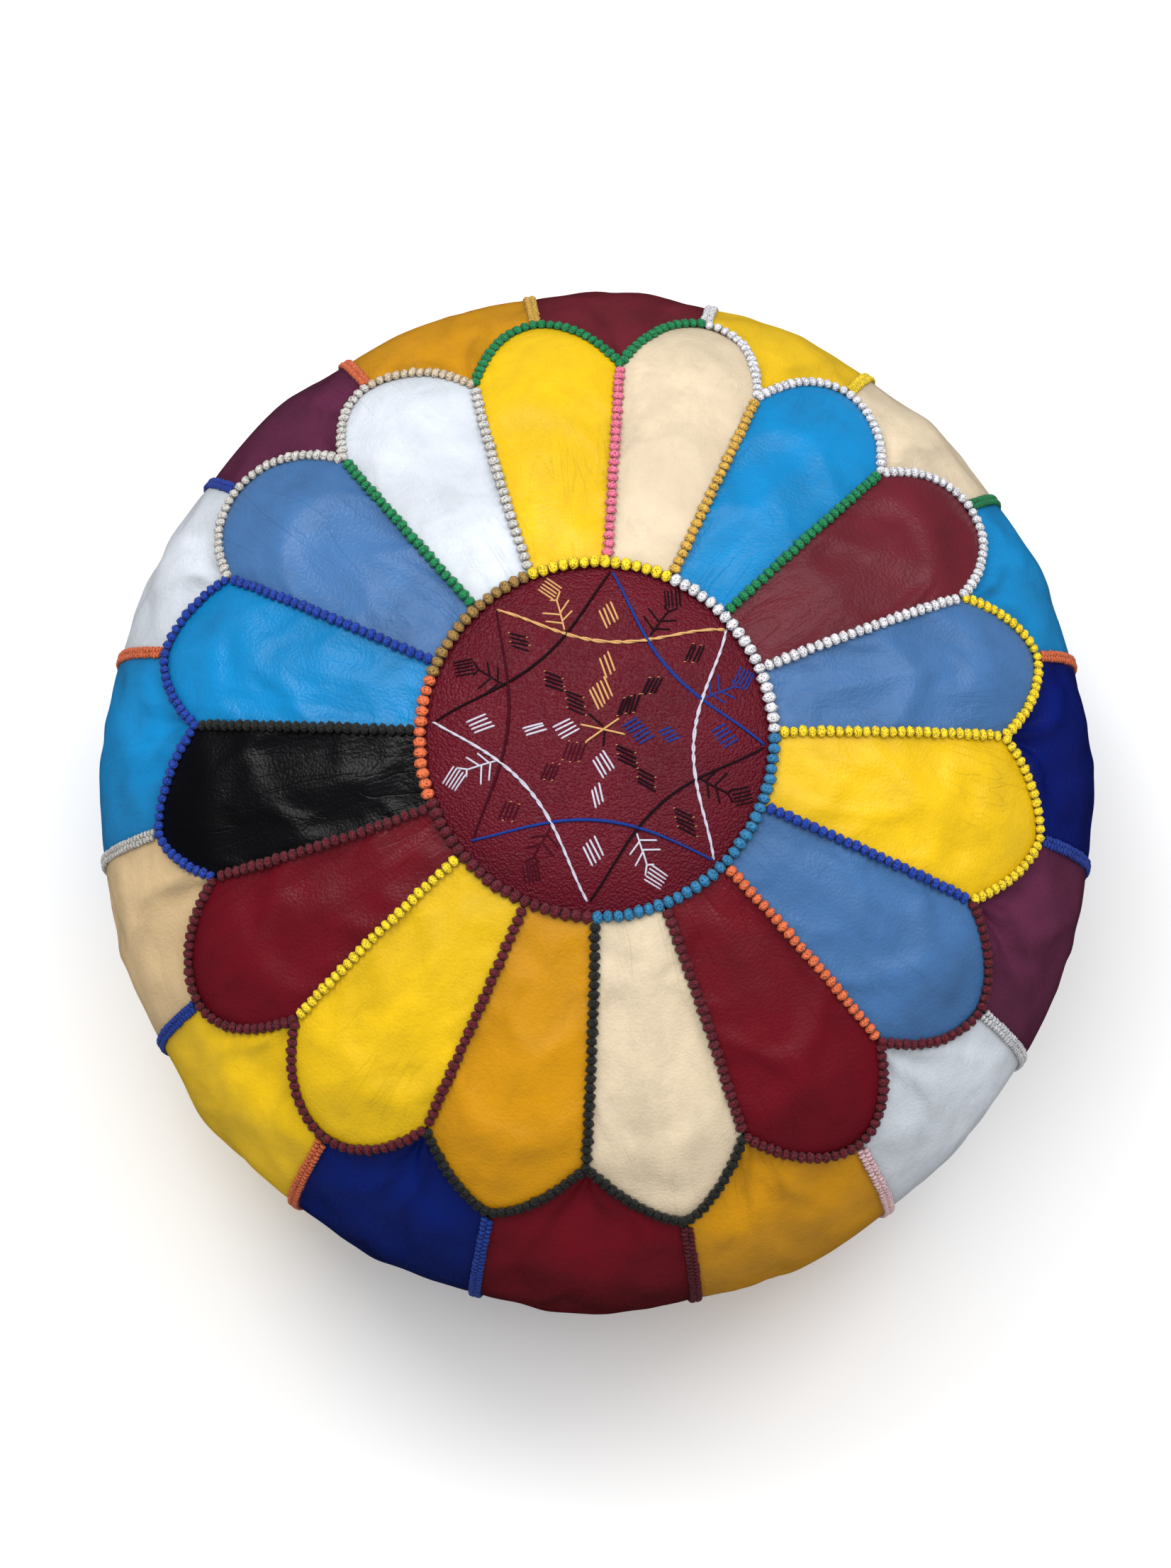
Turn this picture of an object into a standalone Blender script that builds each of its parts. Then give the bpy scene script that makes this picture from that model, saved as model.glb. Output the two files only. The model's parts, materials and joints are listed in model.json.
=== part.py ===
"""Moroccan leather pouf: a round floor cushion of dyed leather panels.

Sixteen petals surround an embroidered medallion, and sixteen side panels run
from the petals' tips down to the base. Corded braids cover every seam. The
base is two leather halves joined by a zip, whose slider and pull tab move.
Inside are a cotton liner bag and its stuffing.

A place on the cover is a bearing, in degrees clockwise from +Y seen from
above, and a reach, in metres along the leather from the middle of the top.
Sizes are in metres, +Z is up, and the pouf stands on z = 0.
"""

import math

import bmesh
import bpy
import numpy as np
from mathutils import Vector

# The leather cover
WIDTH = 0.544  # across the widest level
HEIGHT = 0.300
WIDEST_AT = 0.145  # height of the widest level
LENGTHEN = 1.02  # length along Y over width along X
DOME_POWER = 2.2  # fullness of the upper half; 2 is an ellipse
UNDER_POWER = 2.5  # fullness of the lower half
BASE_SEAM_RADIUS = 0.180  # where the side panels meet the base
LEATHER = 0.0015
SEAM_GAP = 0.0010  # between two panels, under the braid
RING_REACH = 0.0925  # the seam round the medallion

# The braids
BRAID_RADIUS = 0.0029
SIDE_BRAID_RADIUS = 0.0027
BRAID_CLEARANCE = 0.0006  # under a braid, and between two braids
BRAID_STANDOFF = 0.0068  # a straight braid ends this far from the braids it meets
MOST_MITRE = 1.6  # how far a sharp corner of a braid may stand out, over its radius
SIDE_BRAID_STOP = 0.022  # a side braid ends this far above the base seam

# The base and its zip
RECESS_RADIUS = 0.126  # flat middle of the base, raised off the floor
RECESS_SLOPE = 0.010  # width of the slope up to it
RECESS_HEIGHT = 0.009
SLOT_LENGTH = 0.236
SLOT_WIDTH = 0.012
ZIP_LENGTH = 0.230
TAPE_INNER = 0.0033
TAPE_OUTER = 0.0160
TAPE_BOTTOM = 0.0108
TAPE_THICKNESS = 0.0008
TOOTH_PITCH = 0.005
TOOTH_LENGTH = 0.0011
ROW_INNER = 0.0009  # tip of a tooth from the zip's centre line
ROW_OUTER = 0.0030
ROW_BOTTOM = 0.0100
ROW_THICKNESS = 0.0024
STOP_LENGTH = 0.003

# The slider and its pull tab
SLIDER_AT = 0.100  # the closed end, along X
SLIDER_LENGTH = 0.012
SLIDER_WIDTH = 0.009
PLATE_THICKNESS = 0.0013
PLATE_CLEARANCE = 0.0003
FLANGE_WIDTH = 0.0009
FLANGE_CLEARANCE = 0.0003
POST_WIDTH = 0.0012
POST_LENGTH = 0.004
BAIL_LENGTH = 0.0070
BAIL_WIDTH = 0.0024
BAIL_BAR = 0.0012
BAIL_HOLE = 0.0026  # height of the hole that the pull tab turns in
PULL_LENGTH = 0.0240  # from its pivot to its tip
PULL_WIDTH = 0.0064
PULL_THICKNESS = 0.0012
PULL_WINDOW_END = 0.0048
PULL_WINDOW_WIDTH = 0.0032
PULL_SLOPE = 14.0  # degrees below level, where its tip meets the floor

# The liner bag and the stuffing
LINER_CLEARANCE = 0.0045
LINER_CLOTH = 0.0010
LINER_BOTTOM = 0.0160
LINER_BASE_RADIUS = 0.165
LINER_MOUTH = 0.050
STUFFING_CLEARANCE = 0.0010

# The cutting list. For each petal: the bearing of its first seam at the ring
# and at the notch between two petals, the notch's reach, the bearing and reach
# of its tip, how full its rounded end is, and the leather of the petal and of
# the side panel below its first seam.
PETALS = (
    (3.5, 3.5, 0.217, 14.0, 0.270, 1.9, "cream", "burgundy"),
    (25.0, 24.5, 0.217, 34.5, 0.263, 1.6, "bright_blue", "yellow"),
    (46.0, 45.5, 0.224, 55.5, 0.267, 1.9, "burgundy", "cream"),
    (67.0, 67.0, 0.221, 76.5, 0.265, 1.6, "slate_blue", "bright_blue"),
    (88.0, 87.5, 0.227, 100.0, 0.258, 1.4, "yellow", "navy"),
    (112.0, 111.5, 0.221, 123.0, 0.260, 1.7, "slate_blue", "purple"),
    (134.5, 135.5, 0.220, 145.5, 0.262, 1.8, "dark_red", "white"),
    (158.0, 159.0, 0.222, 169.0, 0.263, 1.3, "cream", "ochre"),
    (180.5, 181.5, 0.224, 193.5, 0.260, 1.4, "ochre", "dark_red"),
    (203.5, 204.5, 0.224, 216.0, 0.262, 1.9, "yellow", "royal_blue"),
    (229.5, 228.5, 0.219, 239.0, 0.267, 1.9, "dark_red", "yellow"),
    (247.5, 252.0, 0.221, 260.5, 0.253, 1.4, "black", "tan"),
    (272.5, 274.0, 0.223, 284.0, 0.257, 1.5, "bright_blue", "bright_blue"),
    (295.0, 295.5, 0.229, 307.0, 0.266, 1.8, "slate_blue", "white"),
    (317.0, 319.0, 0.215, 328.5, 0.255, 1.8, "white", "purple"),
    (338.0, 341.5, 0.215, 352.0, 0.258, 1.7, "yellow", "ochre"),
)
SEAM_THREADS = (
    "pink", "gold", "green", "white", "yellow", "royal_blue", "orange", "burgundy",
    "black", "burgundy", "yellow", "burgundy", "black", "royal_blue", "green", "silver",
)  # fmt: skip

LEATHERS = {
    "cream": (0.80, 0.66, 0.44),
    "bright_blue": (0.005, 0.20, 0.50),
    "burgundy": (0.09, 0.008, 0.018),
    "slate_blue": (0.08, 0.16, 0.32),
    "yellow": (0.85, 0.58, 0.01),
    "dark_red": (0.16, 0.004, 0.010),
    "ochre": (0.60, 0.28, 0.01),
    "black": (0.010, 0.010, 0.012),
    "white": (0.82, 0.84, 0.88),
    "navy": (0.004, 0.008, 0.11),
    "purple": (0.08, 0.015, 0.06),
    "royal_blue": (0.005, 0.015, 0.22),
    "tan": (0.68, 0.48, 0.26),
    "natural": (0.50, 0.33, 0.18),
}
THREADS = {
    "pink": (0.70, 0.14, 0.25),
    "gold": (0.60, 0.32, 0.03),
    "green": (0.01, 0.30, 0.09),
    "white": (0.80, 0.80, 0.82),
    "yellow": (0.78, 0.50, 0.01),
    "royal_blue": (0.005, 0.02, 0.35),
    "orange": (0.80, 0.16, 0.02),
    "burgundy": (0.10, 0.005, 0.012),
    "black": (0.012, 0.012, 0.012),
    "silver": (0.48, 0.44, 0.38),
}


def outline(half_width, top, widest, floor, floor_radius):
    """The cover's half section, from the middle of the top to the floor."""
    turns = np.linspace(0.0, math.pi / 2, 241)
    dome_r = half_width * np.sin(turns) ** (2 / DOME_POWER)
    dome_z = widest + (top - widest) * np.cos(turns) ** (2 / DOME_POWER)
    share = (floor_radius / half_width) ** UNDER_POWER
    depth = (widest - floor) / (1 - share) ** (1 / UNDER_POWER)
    under_r = np.linspace(1.0, floor_radius / half_width, 121)[1:]
    drop = (1 - under_r**UNDER_POWER) ** (1 / UNDER_POWER)
    under_z = widest - depth * drop
    radius = np.concatenate([dome_r, under_r * half_width])
    height = np.concatenate([dome_z, under_z])
    return radius, height


def reaches(radius, height):
    """The length along a half section to each of its points."""
    steps = np.hypot(np.diff(radius), np.diff(height))
    return np.concatenate([[0.0], np.cumsum(steps)])


COVER_R, COVER_Z = outline(WIDTH / 2, HEIGHT, WIDEST_AT, 0.0, BASE_SEAM_RADIUS)
COVER_REACH = reaches(COVER_R, COVER_Z)
BASE_SEAM_REACH = float(COVER_REACH[-1])


def on_cover(bearing, reach, lift=0.0):
    """The point at this bearing and reach, lifted off the leather's outside."""
    reach = min(max(reach, 0.0), BASE_SEAM_REACH)
    near, far = max(reach - 0.002, 0.0), min(reach + 0.002, BASE_SEAM_REACH)
    run_r = np.interp(far, COVER_REACH, COVER_R) - np.interp(near, COVER_REACH, COVER_R)
    run_z = np.interp(far, COVER_REACH, COVER_Z) - np.interp(near, COVER_REACH, COVER_Z)
    if near == 0.0:
        run_r, run_z = 1.0, 0.0
    length = math.hypot(run_r, run_z)
    radius = np.interp(reach, COVER_REACH, COVER_R) - lift * run_z / length
    height = np.interp(reach, COVER_REACH, COVER_Z) + lift * run_r / length
    turn = math.radians(bearing)
    return (radius * math.sin(turn), LENGTHEN * radius * math.cos(turn), height)


def degrees_at(reach, distance):
    """How many degrees of bearing this distance spans at this reach."""
    radius = max(float(np.interp(reach, COVER_REACH, COVER_R)), 0.02)
    return math.degrees(distance / radius)


def between(a, b, share):
    return a + (b - a) * share


# Start from an empty scene
for old in list(bpy.data.objects):
    bpy.data.objects.remove(old)
POUF = bpy.data.collections.new("moroccan_leather_pouf")
CUTTERS = bpy.data.collections.new("cutters")
bpy.context.scene.collection.children.link(POUF)
bpy.context.scene.collection.children.link(CUTTERS)


def finish(name, colour, roughness, metallic=0.0):
    material = bpy.data.materials.new(name)
    material.use_nodes = True
    shader = material.node_tree.nodes["Principled BSDF"]
    shader.inputs["Base Color"].default_value = (*colour, 1.0)
    shader.inputs["Roughness"].default_value = roughness
    shader.inputs["Metallic"].default_value = metallic
    return material


def add(name, mesh, material, collection=POUF):
    piece = bpy.data.objects.new(name, mesh)
    collection.objects.link(piece)
    piece.data.materials.append(material)
    return piece


def modify(piece, kind, **settings):
    modifier = piece.modifiers.new(kind.title(), kind)
    for setting, value in settings.items():
        setattr(modifier, setting, value)
    return modifier


def cut(piece, cutter, operation="DIFFERENCE"):
    modify(piece, "BOOLEAN", object=cutter, operation=operation, solver="EXACT")
    cutter.hide_render = True
    cutter.display_type = "WIRE"


def skin(name, rows, wrap=False, first=None, last=None):
    """A mesh over rows of points, which may close round and end in a point."""
    points = [point for row in rows for point in row]
    width = len(rows[0])
    faces = []
    for row in range(len(rows) - 1):
        for column in range(width if wrap else width - 1):
            after = (column + 1) % width
            low, high = row * width, (row + 1) * width
            faces.append((low + column, low + after, high + after, high + column))
    if first is not None:
        points.append(first)
        for column in range(width):
            faces.append((len(points) - 1, (column + 1) % width, column))
    if last is not None:
        points.append(last)
        start = (len(rows) - 1) * width
        for column in range(width):
            faces.append((start + column, start + (column + 1) % width, len(points) - 1))
    mesh = bpy.data.meshes.new(name)
    mesh.from_pydata(points, [], faces)
    shape = bmesh.new()
    shape.from_mesh(mesh)
    bmesh.ops.recalc_face_normals(shape, faces=shape.faces)
    topmost = max(shape.faces, key=lambda face: face.calc_center_median().z)
    if topmost.normal.z < 0:
        bmesh.ops.reverse_faces(shape, faces=shape.faces)
    shape.to_mesh(mesh)
    shape.free()
    return mesh


def box(name, low, high, material=None, collection=POUF):
    """A box between two opposite corners."""
    low, high = Vector(low), Vector(high)
    shape = bmesh.new()
    bmesh.ops.create_cube(shape, size=1.0)
    bmesh.ops.scale(shape, vec=high - low, verts=shape.verts)
    bmesh.ops.translate(shape, vec=(low + high) / 2, verts=shape.verts)
    mesh = bpy.data.meshes.new(name)
    shape.to_mesh(mesh)
    shape.free()
    return add(name, mesh, material, collection)


def cord(name, places, material, closed=False):
    """A braid's cord, resting on the cover."""
    curve = bpy.data.curves.new(name, "CURVE")
    curve.dimensions = "3D"
    curve.bevel_depth = BRAID_RADIUS
    curve.bevel_resolution = 1
    curve.use_fill_caps = True
    spline = curve.splines.new("POLY")
    spline.points.add(len(places) - 1)
    for point, (bearing, reach) in zip(spline.points, places):
        point.co = (*on_cover(bearing, reach, LIFT), 1.0)
    spline.use_cyclic_u = closed
    return add(name, curve, material)


def mitred_cord(name, places, material, closed=False, collection=POUF, size=BRAID_RADIUS):
    """A cord that turns sharp corners: six-sided, and mitred at each corner."""
    middles = [Vector(on_cover(bearing, reach, LIFT)) for bearing, reach in places]
    rows = []
    for index, (bearing, reach) in enumerate(places):
        here = middles[index]
        back = middles[index - 1] if closed or index else here
        ahead = middles[(index + 1) % len(places)] if closed or index < len(places) - 1 else here
        up = (Vector(on_cover(bearing, reach, 2 * LIFT)) - here).normalized()
        run_in = (here - back).normalized()
        run_out = (ahead - here).normalized()
        along = (run_in + run_out).normalized()
        aside = up.cross(along).normalized()
        turn = max(along.dot(run_out), along.dot(run_in))
        mitre = min(1.0 / max(turn, 0.1), MOST_MITRE)
        row = []
        for corner in range(6):
            angle = math.radians(60 * corner)
            row.append(here + (aside * math.cos(angle) * mitre + up * math.sin(angle)) * size)
        rows.append(row)
    points = [tuple(point) for row in rows for point in row]
    faces = []
    for row in range(len(rows) if closed else len(rows) - 1):
        low, high = 6 * row, 6 * ((row + 1) % len(rows))
        for corner in range(6):
            after = (corner + 1) % 6
            faces.append((low + corner, low + after, high + after, high + corner))
    if not closed:
        last = 6 * (len(rows) - 1)
        faces.append(tuple(range(5, -1, -1)))
        faces.append(tuple(range(last, last + 6)))
    mesh = bpy.data.meshes.new(name)
    mesh.from_pydata(points, [], faces)
    shape = bmesh.new()
    shape.from_mesh(mesh)
    bmesh.ops.recalc_face_normals(shape, faces=shape.faces)
    shape.to_mesh(mesh)
    shape.free()
    return add(name, mesh, material, collection)


leather = {name: finish("leather_" + name, colour, 0.45) for name, colour in LEATHERS.items()}
thread = {name: finish("thread_" + name, colour, 0.7) for name, colour in THREADS.items()}
mixed_thread = finish("thread_mixed", (0.40, 0.34, 0.20), 0.7)
cotton = finish("cotton", (0.75, 0.70, 0.60), 0.9)
stuffing = finish("stuffing", (0.80, 0.78, 0.72), 1.0)
tape_cloth = finish("zip_tape", (0.10, 0.06, 0.04), 0.85)
brass = finish("brass", (0.62, 0.42, 0.16), 0.35, 1.0)

HALF_GAP = SEAM_GAP / 2
LIFT = BRAID_RADIUS + BRAID_CLEARANCE
COUNT = len(PETALS)
ACROSS = (-1.0, -0.866, -0.5, 0.0, 0.5, 0.866, 1.0)  # over a petal's end, notch to notch
STRAND_ACROSS = (-1.0, -0.866, -0.68, -0.5, -0.25, 0.0, 0.25, 0.5, 0.68, 0.866, 1.0)


def petal_end(index, across):
    """Bearing and reach on a petal's rounded end; across runs from -1 to 1."""
    _, notch, notch_reach, tip, tip_reach, full, _, _ = PETALS[index]
    after = PETALS[(index + 1) % COUNT]
    notch_after = after[1] + (360.0 if index == COUNT - 1 else 0.0)
    if across < 0:
        bearing = between(tip, notch, -across)
        base = notch_reach
    else:
        bearing = between(tip, notch_after, across)
        base = after[2]
    return bearing, base + (tip_reach - base) * (1 - abs(across) ** full)


# The medallion: one round piece in the middle of the top
rounds = np.linspace(0.0, 360.0, 32, endpoint=False)
medallion_rows = [
    [on_cover(bearing, reach) for bearing in rounds]
    for reach in (0.031, 0.062, RING_REACH - HALF_GAP)
]
medallion = add(
    "medallion",
    skin("medallion", medallion_rows, wrap=True, first=on_cover(0.0, 0.0)),
    leather["burgundy"],
)
modify(medallion, "SOLIDIFY", thickness=LEATHER, offset=-1.0)

# The petals: from the medallion's seam out to a rounded end
for index in range(COUNT):
    first = PETALS[index][0]
    second = PETALS[(index + 1) % COUNT][0] + (360.0 if index == COUNT - 1 else 0.0)
    rows = []
    for share in (0.0, 0.25, 0.5, 0.75, 1.0):
        row = []
        for across in ACROSS:
            end_bearing, end_reach = petal_end(index, across)
            start_bearing = between(first, second, (across + 1) / 2)
            start_reach = RING_REACH + HALF_GAP
            bearing = between(start_bearing, end_bearing, share)
            reach = between(start_reach, end_reach - HALF_GAP, share)
            bearing -= across * degrees_at(reach, HALF_GAP)
            row.append(on_cover(bearing, reach))
        rows.append(row)
    name = f"petal_{index + 1:02d}"
    petal = add(name, skin(name, rows), leather[PETALS[index][6]])
    modify(petal, "SOLIDIFY", thickness=LEATHER, offset=-1.0)

# The side panels: from two half petal ends down to the base seam
for index in range(COUNT):
    before = (index - 1) % COUNT
    wrap_back = -360.0 if index == 0 else 0.0
    tops = [petal_end(before, across) for across in (0.0, 0.5, 0.866, 1.0)]
    tops = [(bearing + wrap_back, reach) for bearing, reach in tops]
    tops += [petal_end(index, across) for across in (-0.866, -0.5, 0.0)]
    side_left, side_right = tops[0][0], tops[-1][0]
    middle = (side_left + side_right) / 2
    rows = []
    for share in np.linspace(0.0, 1.0, 13):
        row = []
        for bearing, reach in tops:
            reach = between(reach + HALF_GAP, BASE_SEAM_REACH - HALF_GAP, share)
            squeeze = (bearing - middle) / (side_right - middle)
            row.append(on_cover(bearing - squeeze * degrees_at(reach, HALF_GAP), reach))
        rows.append(row)
    name = f"side_panel_{index + 1:02d}"
    panel = add(name, skin(name, rows), leather[PETALS[index][7]])
    modify(panel, "SOLIDIFY", thickness=LEATHER, offset=-1.0)

# The round braid over the medallion's seam
cord("ring_braid", [(bearing, RING_REACH) for bearing in rounds], mixed_thread, closed=True)

# The straight braids, one over each seam between two petals
for index in range(COUNT):
    ring_bearing, notch_bearing, notch_reach = PETALS[index][:3]
    places = []
    for reach in np.linspace(RING_REACH + BRAID_STANDOFF, notch_reach - BRAID_STANDOFF, 8):
        along = (reach - RING_REACH) / (notch_reach - RING_REACH)
        places.append((between(ring_bearing, notch_bearing, along), reach))
    cord(f"seam_braid_{index + 1:02d}", places, thread[SEAM_THREADS[index]])

# The outer braid: one loop round the petals' ends, and a strand down each side seam
loop = [petal_end(index, across) for index in range(COUNT) for across in STRAND_ACROSS[:-1]]
outer_braid = mitred_cord("outer_braid", loop, mixed_thread, closed=True)
strands = bpy.data.collections.new("side_strands")
CUTTERS.children.link(strands)
for index in range(COUNT):
    tip, tip_reach = PETALS[index][3:5]
    stop = BASE_SEAM_REACH - SIDE_BRAID_STOP
    places = [(tip, reach) for reach in np.linspace(tip_reach + 0.0004, stop, 12)]
    name = f"side_strand_{index + 1:02d}"
    strand = mitred_cord(name, places, mixed_thread, collection=strands, size=SIDE_BRAID_RADIUS)
    strand.hide_render = True
    strand.display_type = "WIRE"
modify(
    outer_braid,
    "BOOLEAN",
    operand_type="COLLECTION",
    collection=strands,
    operation="UNION",
    solver="EXACT",
)

# The base: two halves of a disc, raised in the middle, with a slot for the zip
base_profile = (
    (0.060, RECESS_HEIGHT),
    (RECESS_RADIUS - RECESS_SLOPE, RECESS_HEIGHT),
    (RECESS_RADIUS, 0.0),
    (BASE_SEAM_RADIUS - SEAM_GAP - LEATHER, 0.0),
)


def base_rows():
    return [
        [
            (
                radius * math.sin(math.radians(bearing)),
                radius * math.cos(math.radians(bearing)) * LENGTHEN,
                height,
            )
            for bearing in rounds
        ]
        for radius, height in base_profile
    ]


slot = box(
    "slot_cutter",
    (-SLOT_LENGTH / 2, -SLOT_WIDTH / 2, -0.01),
    (SLOT_LENGTH / 2, SLOT_WIDTH / 2, 0.05),
    leather["natural"],
    CUTTERS,
)
for side, name in ((1, "base_back"), (-1, "base_front")):
    mesh = skin(name, base_rows(), wrap=True, first=(0.0, 0.0, RECESS_HEIGHT))
    half = add(name, mesh, leather["natural"])
    modify(half, "SOLIDIFY", thickness=LEATHER, offset=1.0)
    far = -side * 0.4
    edge = side * HALF_GAP
    halver = box(
        name + "_cutter",
        (-0.4, min(far, edge), -0.02),
        (0.4, max(far, edge), 0.06),
        leather["natural"],
        CUTTERS,
    )
    cut(half, halver)
    cut(half, slot)

# The zip: a tape each side, and two rows of teeth joined by the end stop
for side, name in ((1, "zip_tape_back"), (-1, "zip_tape_front")):
    inner, outer = side * TAPE_INNER, side * TAPE_OUTER
    box(
        name,
        (-SLOT_LENGTH / 2, min(inner, outer), TAPE_BOTTOM),
        (SLOT_LENGTH / 2, max(inner, outer), TAPE_BOTTOM + TAPE_THICKNESS),
        tape_cloth,
    )

teeth = int(ZIP_LENGTH / TOOTH_PITCH)
row_edge = [(-ZIP_LENGTH / 2, ROW_OUTER), (-ZIP_LENGTH / 2, ROW_INNER + TOOTH_LENGTH)]
for tooth in range(teeth):
    start = -ZIP_LENGTH / 2 + TOOTH_PITCH * (tooth + 0.25)
    end = start + TOOTH_PITCH / 2
    root = ROW_INNER + TOOTH_LENGTH
    row_edge += [(start, root), (start, ROW_INNER), (end, ROW_INNER), (end, root)]
row_edge += [(ZIP_LENGTH / 2, ROW_INNER + TOOTH_LENGTH), (ZIP_LENGTH / 2, ROW_OUTER)]


def teeth_row(name, side, shift, material, collection):
    """One row of teeth: a comb-shaped plate."""
    shape = bmesh.new()
    corners = [shape.verts.new((x + shift, side * y, ROW_BOTTOM)) for x, y in row_edge]
    face = shape.faces.new(corners)
    bmesh.ops.recalc_face_normals(shape, faces=[face])
    raised = bmesh.ops.extrude_face_region(shape, geom=[face])["geom"]
    lifted = [item for item in raised if isinstance(item, bmesh.types.BMVert)]
    bmesh.ops.translate(shape, vec=(0.0, 0.0, ROW_THICKNESS), verts=lifted)
    bmesh.ops.recalc_face_normals(shape, faces=shape.faces)
    mesh = bpy.data.meshes.new(name)
    shape.to_mesh(mesh)
    shape.free()
    return add(name, mesh, material, collection)


chain = teeth_row("zip_teeth", 1, 0.0, brass, POUF)
cut(chain, teeth_row("second_row", -1, 0.0, brass, CUTTERS), "UNION")
stop = box(
    "end_stop",
    (-ZIP_LENGTH / 2 - STOP_LENGTH, -ROW_OUTER + 0.0002, ROW_BOTTOM - 0.0004),
    (-ZIP_LENGTH / 2 + 0.0005, ROW_OUTER - 0.0002, ROW_BOTTOM + ROW_THICKNESS + 0.0004),
    brass,
    CUTTERS,
)
cut(chain, stop, "UNION")

# The slider: two plates on a post, flanges that hold the teeth, and a bail
row_top = ROW_BOTTOM + ROW_THICKNESS
lower_top = ROW_BOTTOM - PLATE_CLEARANCE
lower_bottom = lower_top - PLATE_THICKNESS
upper_bottom = row_top + PLATE_CLEARANCE
upper_top = upper_bottom + PLATE_THICKNESS
half_length = SLIDER_LENGTH / 2
half_width = SLIDER_WIDTH / 2
near_x, far_x = SLIDER_AT - half_length, SLIDER_AT + half_length


def joined_box(piece, name, low, high):
    cut(piece, box(name, low, high, brass, CUTTERS), "UNION")


slider = box(
    "zip_slider",
    (near_x, -half_width, lower_bottom),
    (far_x, half_width, lower_top),
    brass,
)
joined_box(
    slider,
    "upper_plate",
    (near_x, -half_width, upper_bottom),
    (far_x, half_width, upper_top),
)
joined_box(
    slider,
    "slider_post",
    (far_x - 0.0005 - POST_LENGTH, -POST_WIDTH / 2, lower_top - 0.0004),
    (far_x - 0.0005, POST_WIDTH / 2, upper_bottom + 0.0004),
)
for side in (1, -1):
    inner = side * (half_width - FLANGE_WIDTH)
    outer = side * half_width
    joined_box(
        slider,
        f"lower_flange_{side}",
        (near_x, min(inner, outer), lower_top - 0.0004),
        (far_x, max(inner, outer), TAPE_BOTTOM - FLANGE_CLEARANCE),
    )
    joined_box(
        slider,
        f"upper_flange_{side}",
        (near_x, min(inner, outer), TAPE_BOTTOM + TAPE_THICKNESS + FLANGE_CLEARANCE),
        (far_x, max(inner, outer), upper_bottom + 0.0004),
    )
joined_box(
    slider,
    "bail",
    (SLIDER_AT - BAIL_LENGTH / 2, -BAIL_WIDTH / 2, lower_bottom - BAIL_HOLE - BAIL_BAR),
    (SLIDER_AT + BAIL_LENGTH / 2, BAIL_WIDTH / 2, lower_bottom + 0.0004),
)
cut(
    slider,
    box(
        "bail_hole",
        (SLIDER_AT - BAIL_LENGTH / 2 + BAIL_BAR, -BAIL_WIDTH, lower_bottom - BAIL_HOLE),
        (SLIDER_AT + BAIL_LENGTH / 2 - BAIL_BAR, BAIL_WIDTH, lower_bottom),
        brass,
        CUTTERS,
    ),
)

# The pull tab: a plate whose end bar turns in the bail's hole
PIVOT = (SLIDER_AT, 0.0, lower_bottom - BAIL_HOLE / 2)
pull = box(
    "zip_pull",
    (-PULL_LENGTH, -PULL_WIDTH / 2, -PULL_THICKNESS / 2),
    (PULL_THICKNESS / 2, PULL_WIDTH / 2, PULL_THICKNESS / 2),
    brass,
)
window = box(
    "pull_window",
    (-PULL_WINDOW_END, -PULL_WINDOW_WIDTH / 2, -PULL_THICKNESS),
    (-PULL_THICKNESS / 2, PULL_WINDOW_WIDTH / 2, PULL_THICKNESS),
    brass,
    CUTTERS,
)
pull_hinge = bpy.data.objects.new("pull_hinge", None)
POUF.objects.link(pull_hinge)
pull_hinge.location = PIVOT
pull_hinge.rotation_euler = (0.0, -math.radians(PULL_SLOPE), 0.0)
pull.parent = pull_hinge
window.parent = pull_hinge
cut(pull, window)

# The liner bag: cotton, open below where the stuffing goes in
liner_gap = LEATHER + LINER_CLEARANCE
columns = np.linspace(0.0, 360.0, 24, endpoint=False)


def inner_body(gap, bottom, steps, mouth):
    """Rows of points for a bag this far inside the cover's outside."""
    radius, height = outline(
        WIDTH / 2 - gap, HEIGHT - gap, WIDEST_AT, bottom, LINER_BASE_RADIUS
    )
    along = reaches(radius, height)
    rows = []
    for reach in np.linspace(along[-1] / steps, along[-1], steps):
        r = float(np.interp(reach, along, radius))
        z = float(np.interp(reach, along, height))
        rows.append([
            (r * math.sin(math.radians(b)), LENGTHEN * r * math.cos(math.radians(b)), z)
            for b in columns
        ])
    if mouth:
        rows.append([
            (mouth * math.sin(math.radians(b)), mouth * math.cos(math.radians(b)), bottom)
            for b in columns
        ])
    return rows


liner = add(
    "liner_bag",
    skin(
        "liner_bag",
        inner_body(liner_gap, LINER_BOTTOM, 12, LINER_MOUTH),
        wrap=True,
        first=(0.0, 0.0, HEIGHT - liner_gap),
    ),
    cotton,
)
modify(liner, "SOLIDIFY", thickness=LINER_CLOTH, offset=-1.0)
fill_gap = liner_gap + LINER_CLOTH + STUFFING_CLEARANCE
fill_bottom = LINER_BOTTOM + LINER_CLOTH + STUFFING_CLEARANCE
add(
    "stuffing",
    skin(
        "stuffing",
        inner_body(fill_gap, fill_bottom, 12, None),
        wrap=True,
        first=(0.0, 0.0, HEIGHT - fill_gap),
        last=(0.0, 0.0, fill_bottom),
    ),
    stuffing,
)
CUTTERS.hide_render = True
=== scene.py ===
"""Moroccan leather pouf, put together in the order a workshop would."""

import json
import math
import random

import bpy
import numpy as np
from mathutils import Matrix, Vector, noise


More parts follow.
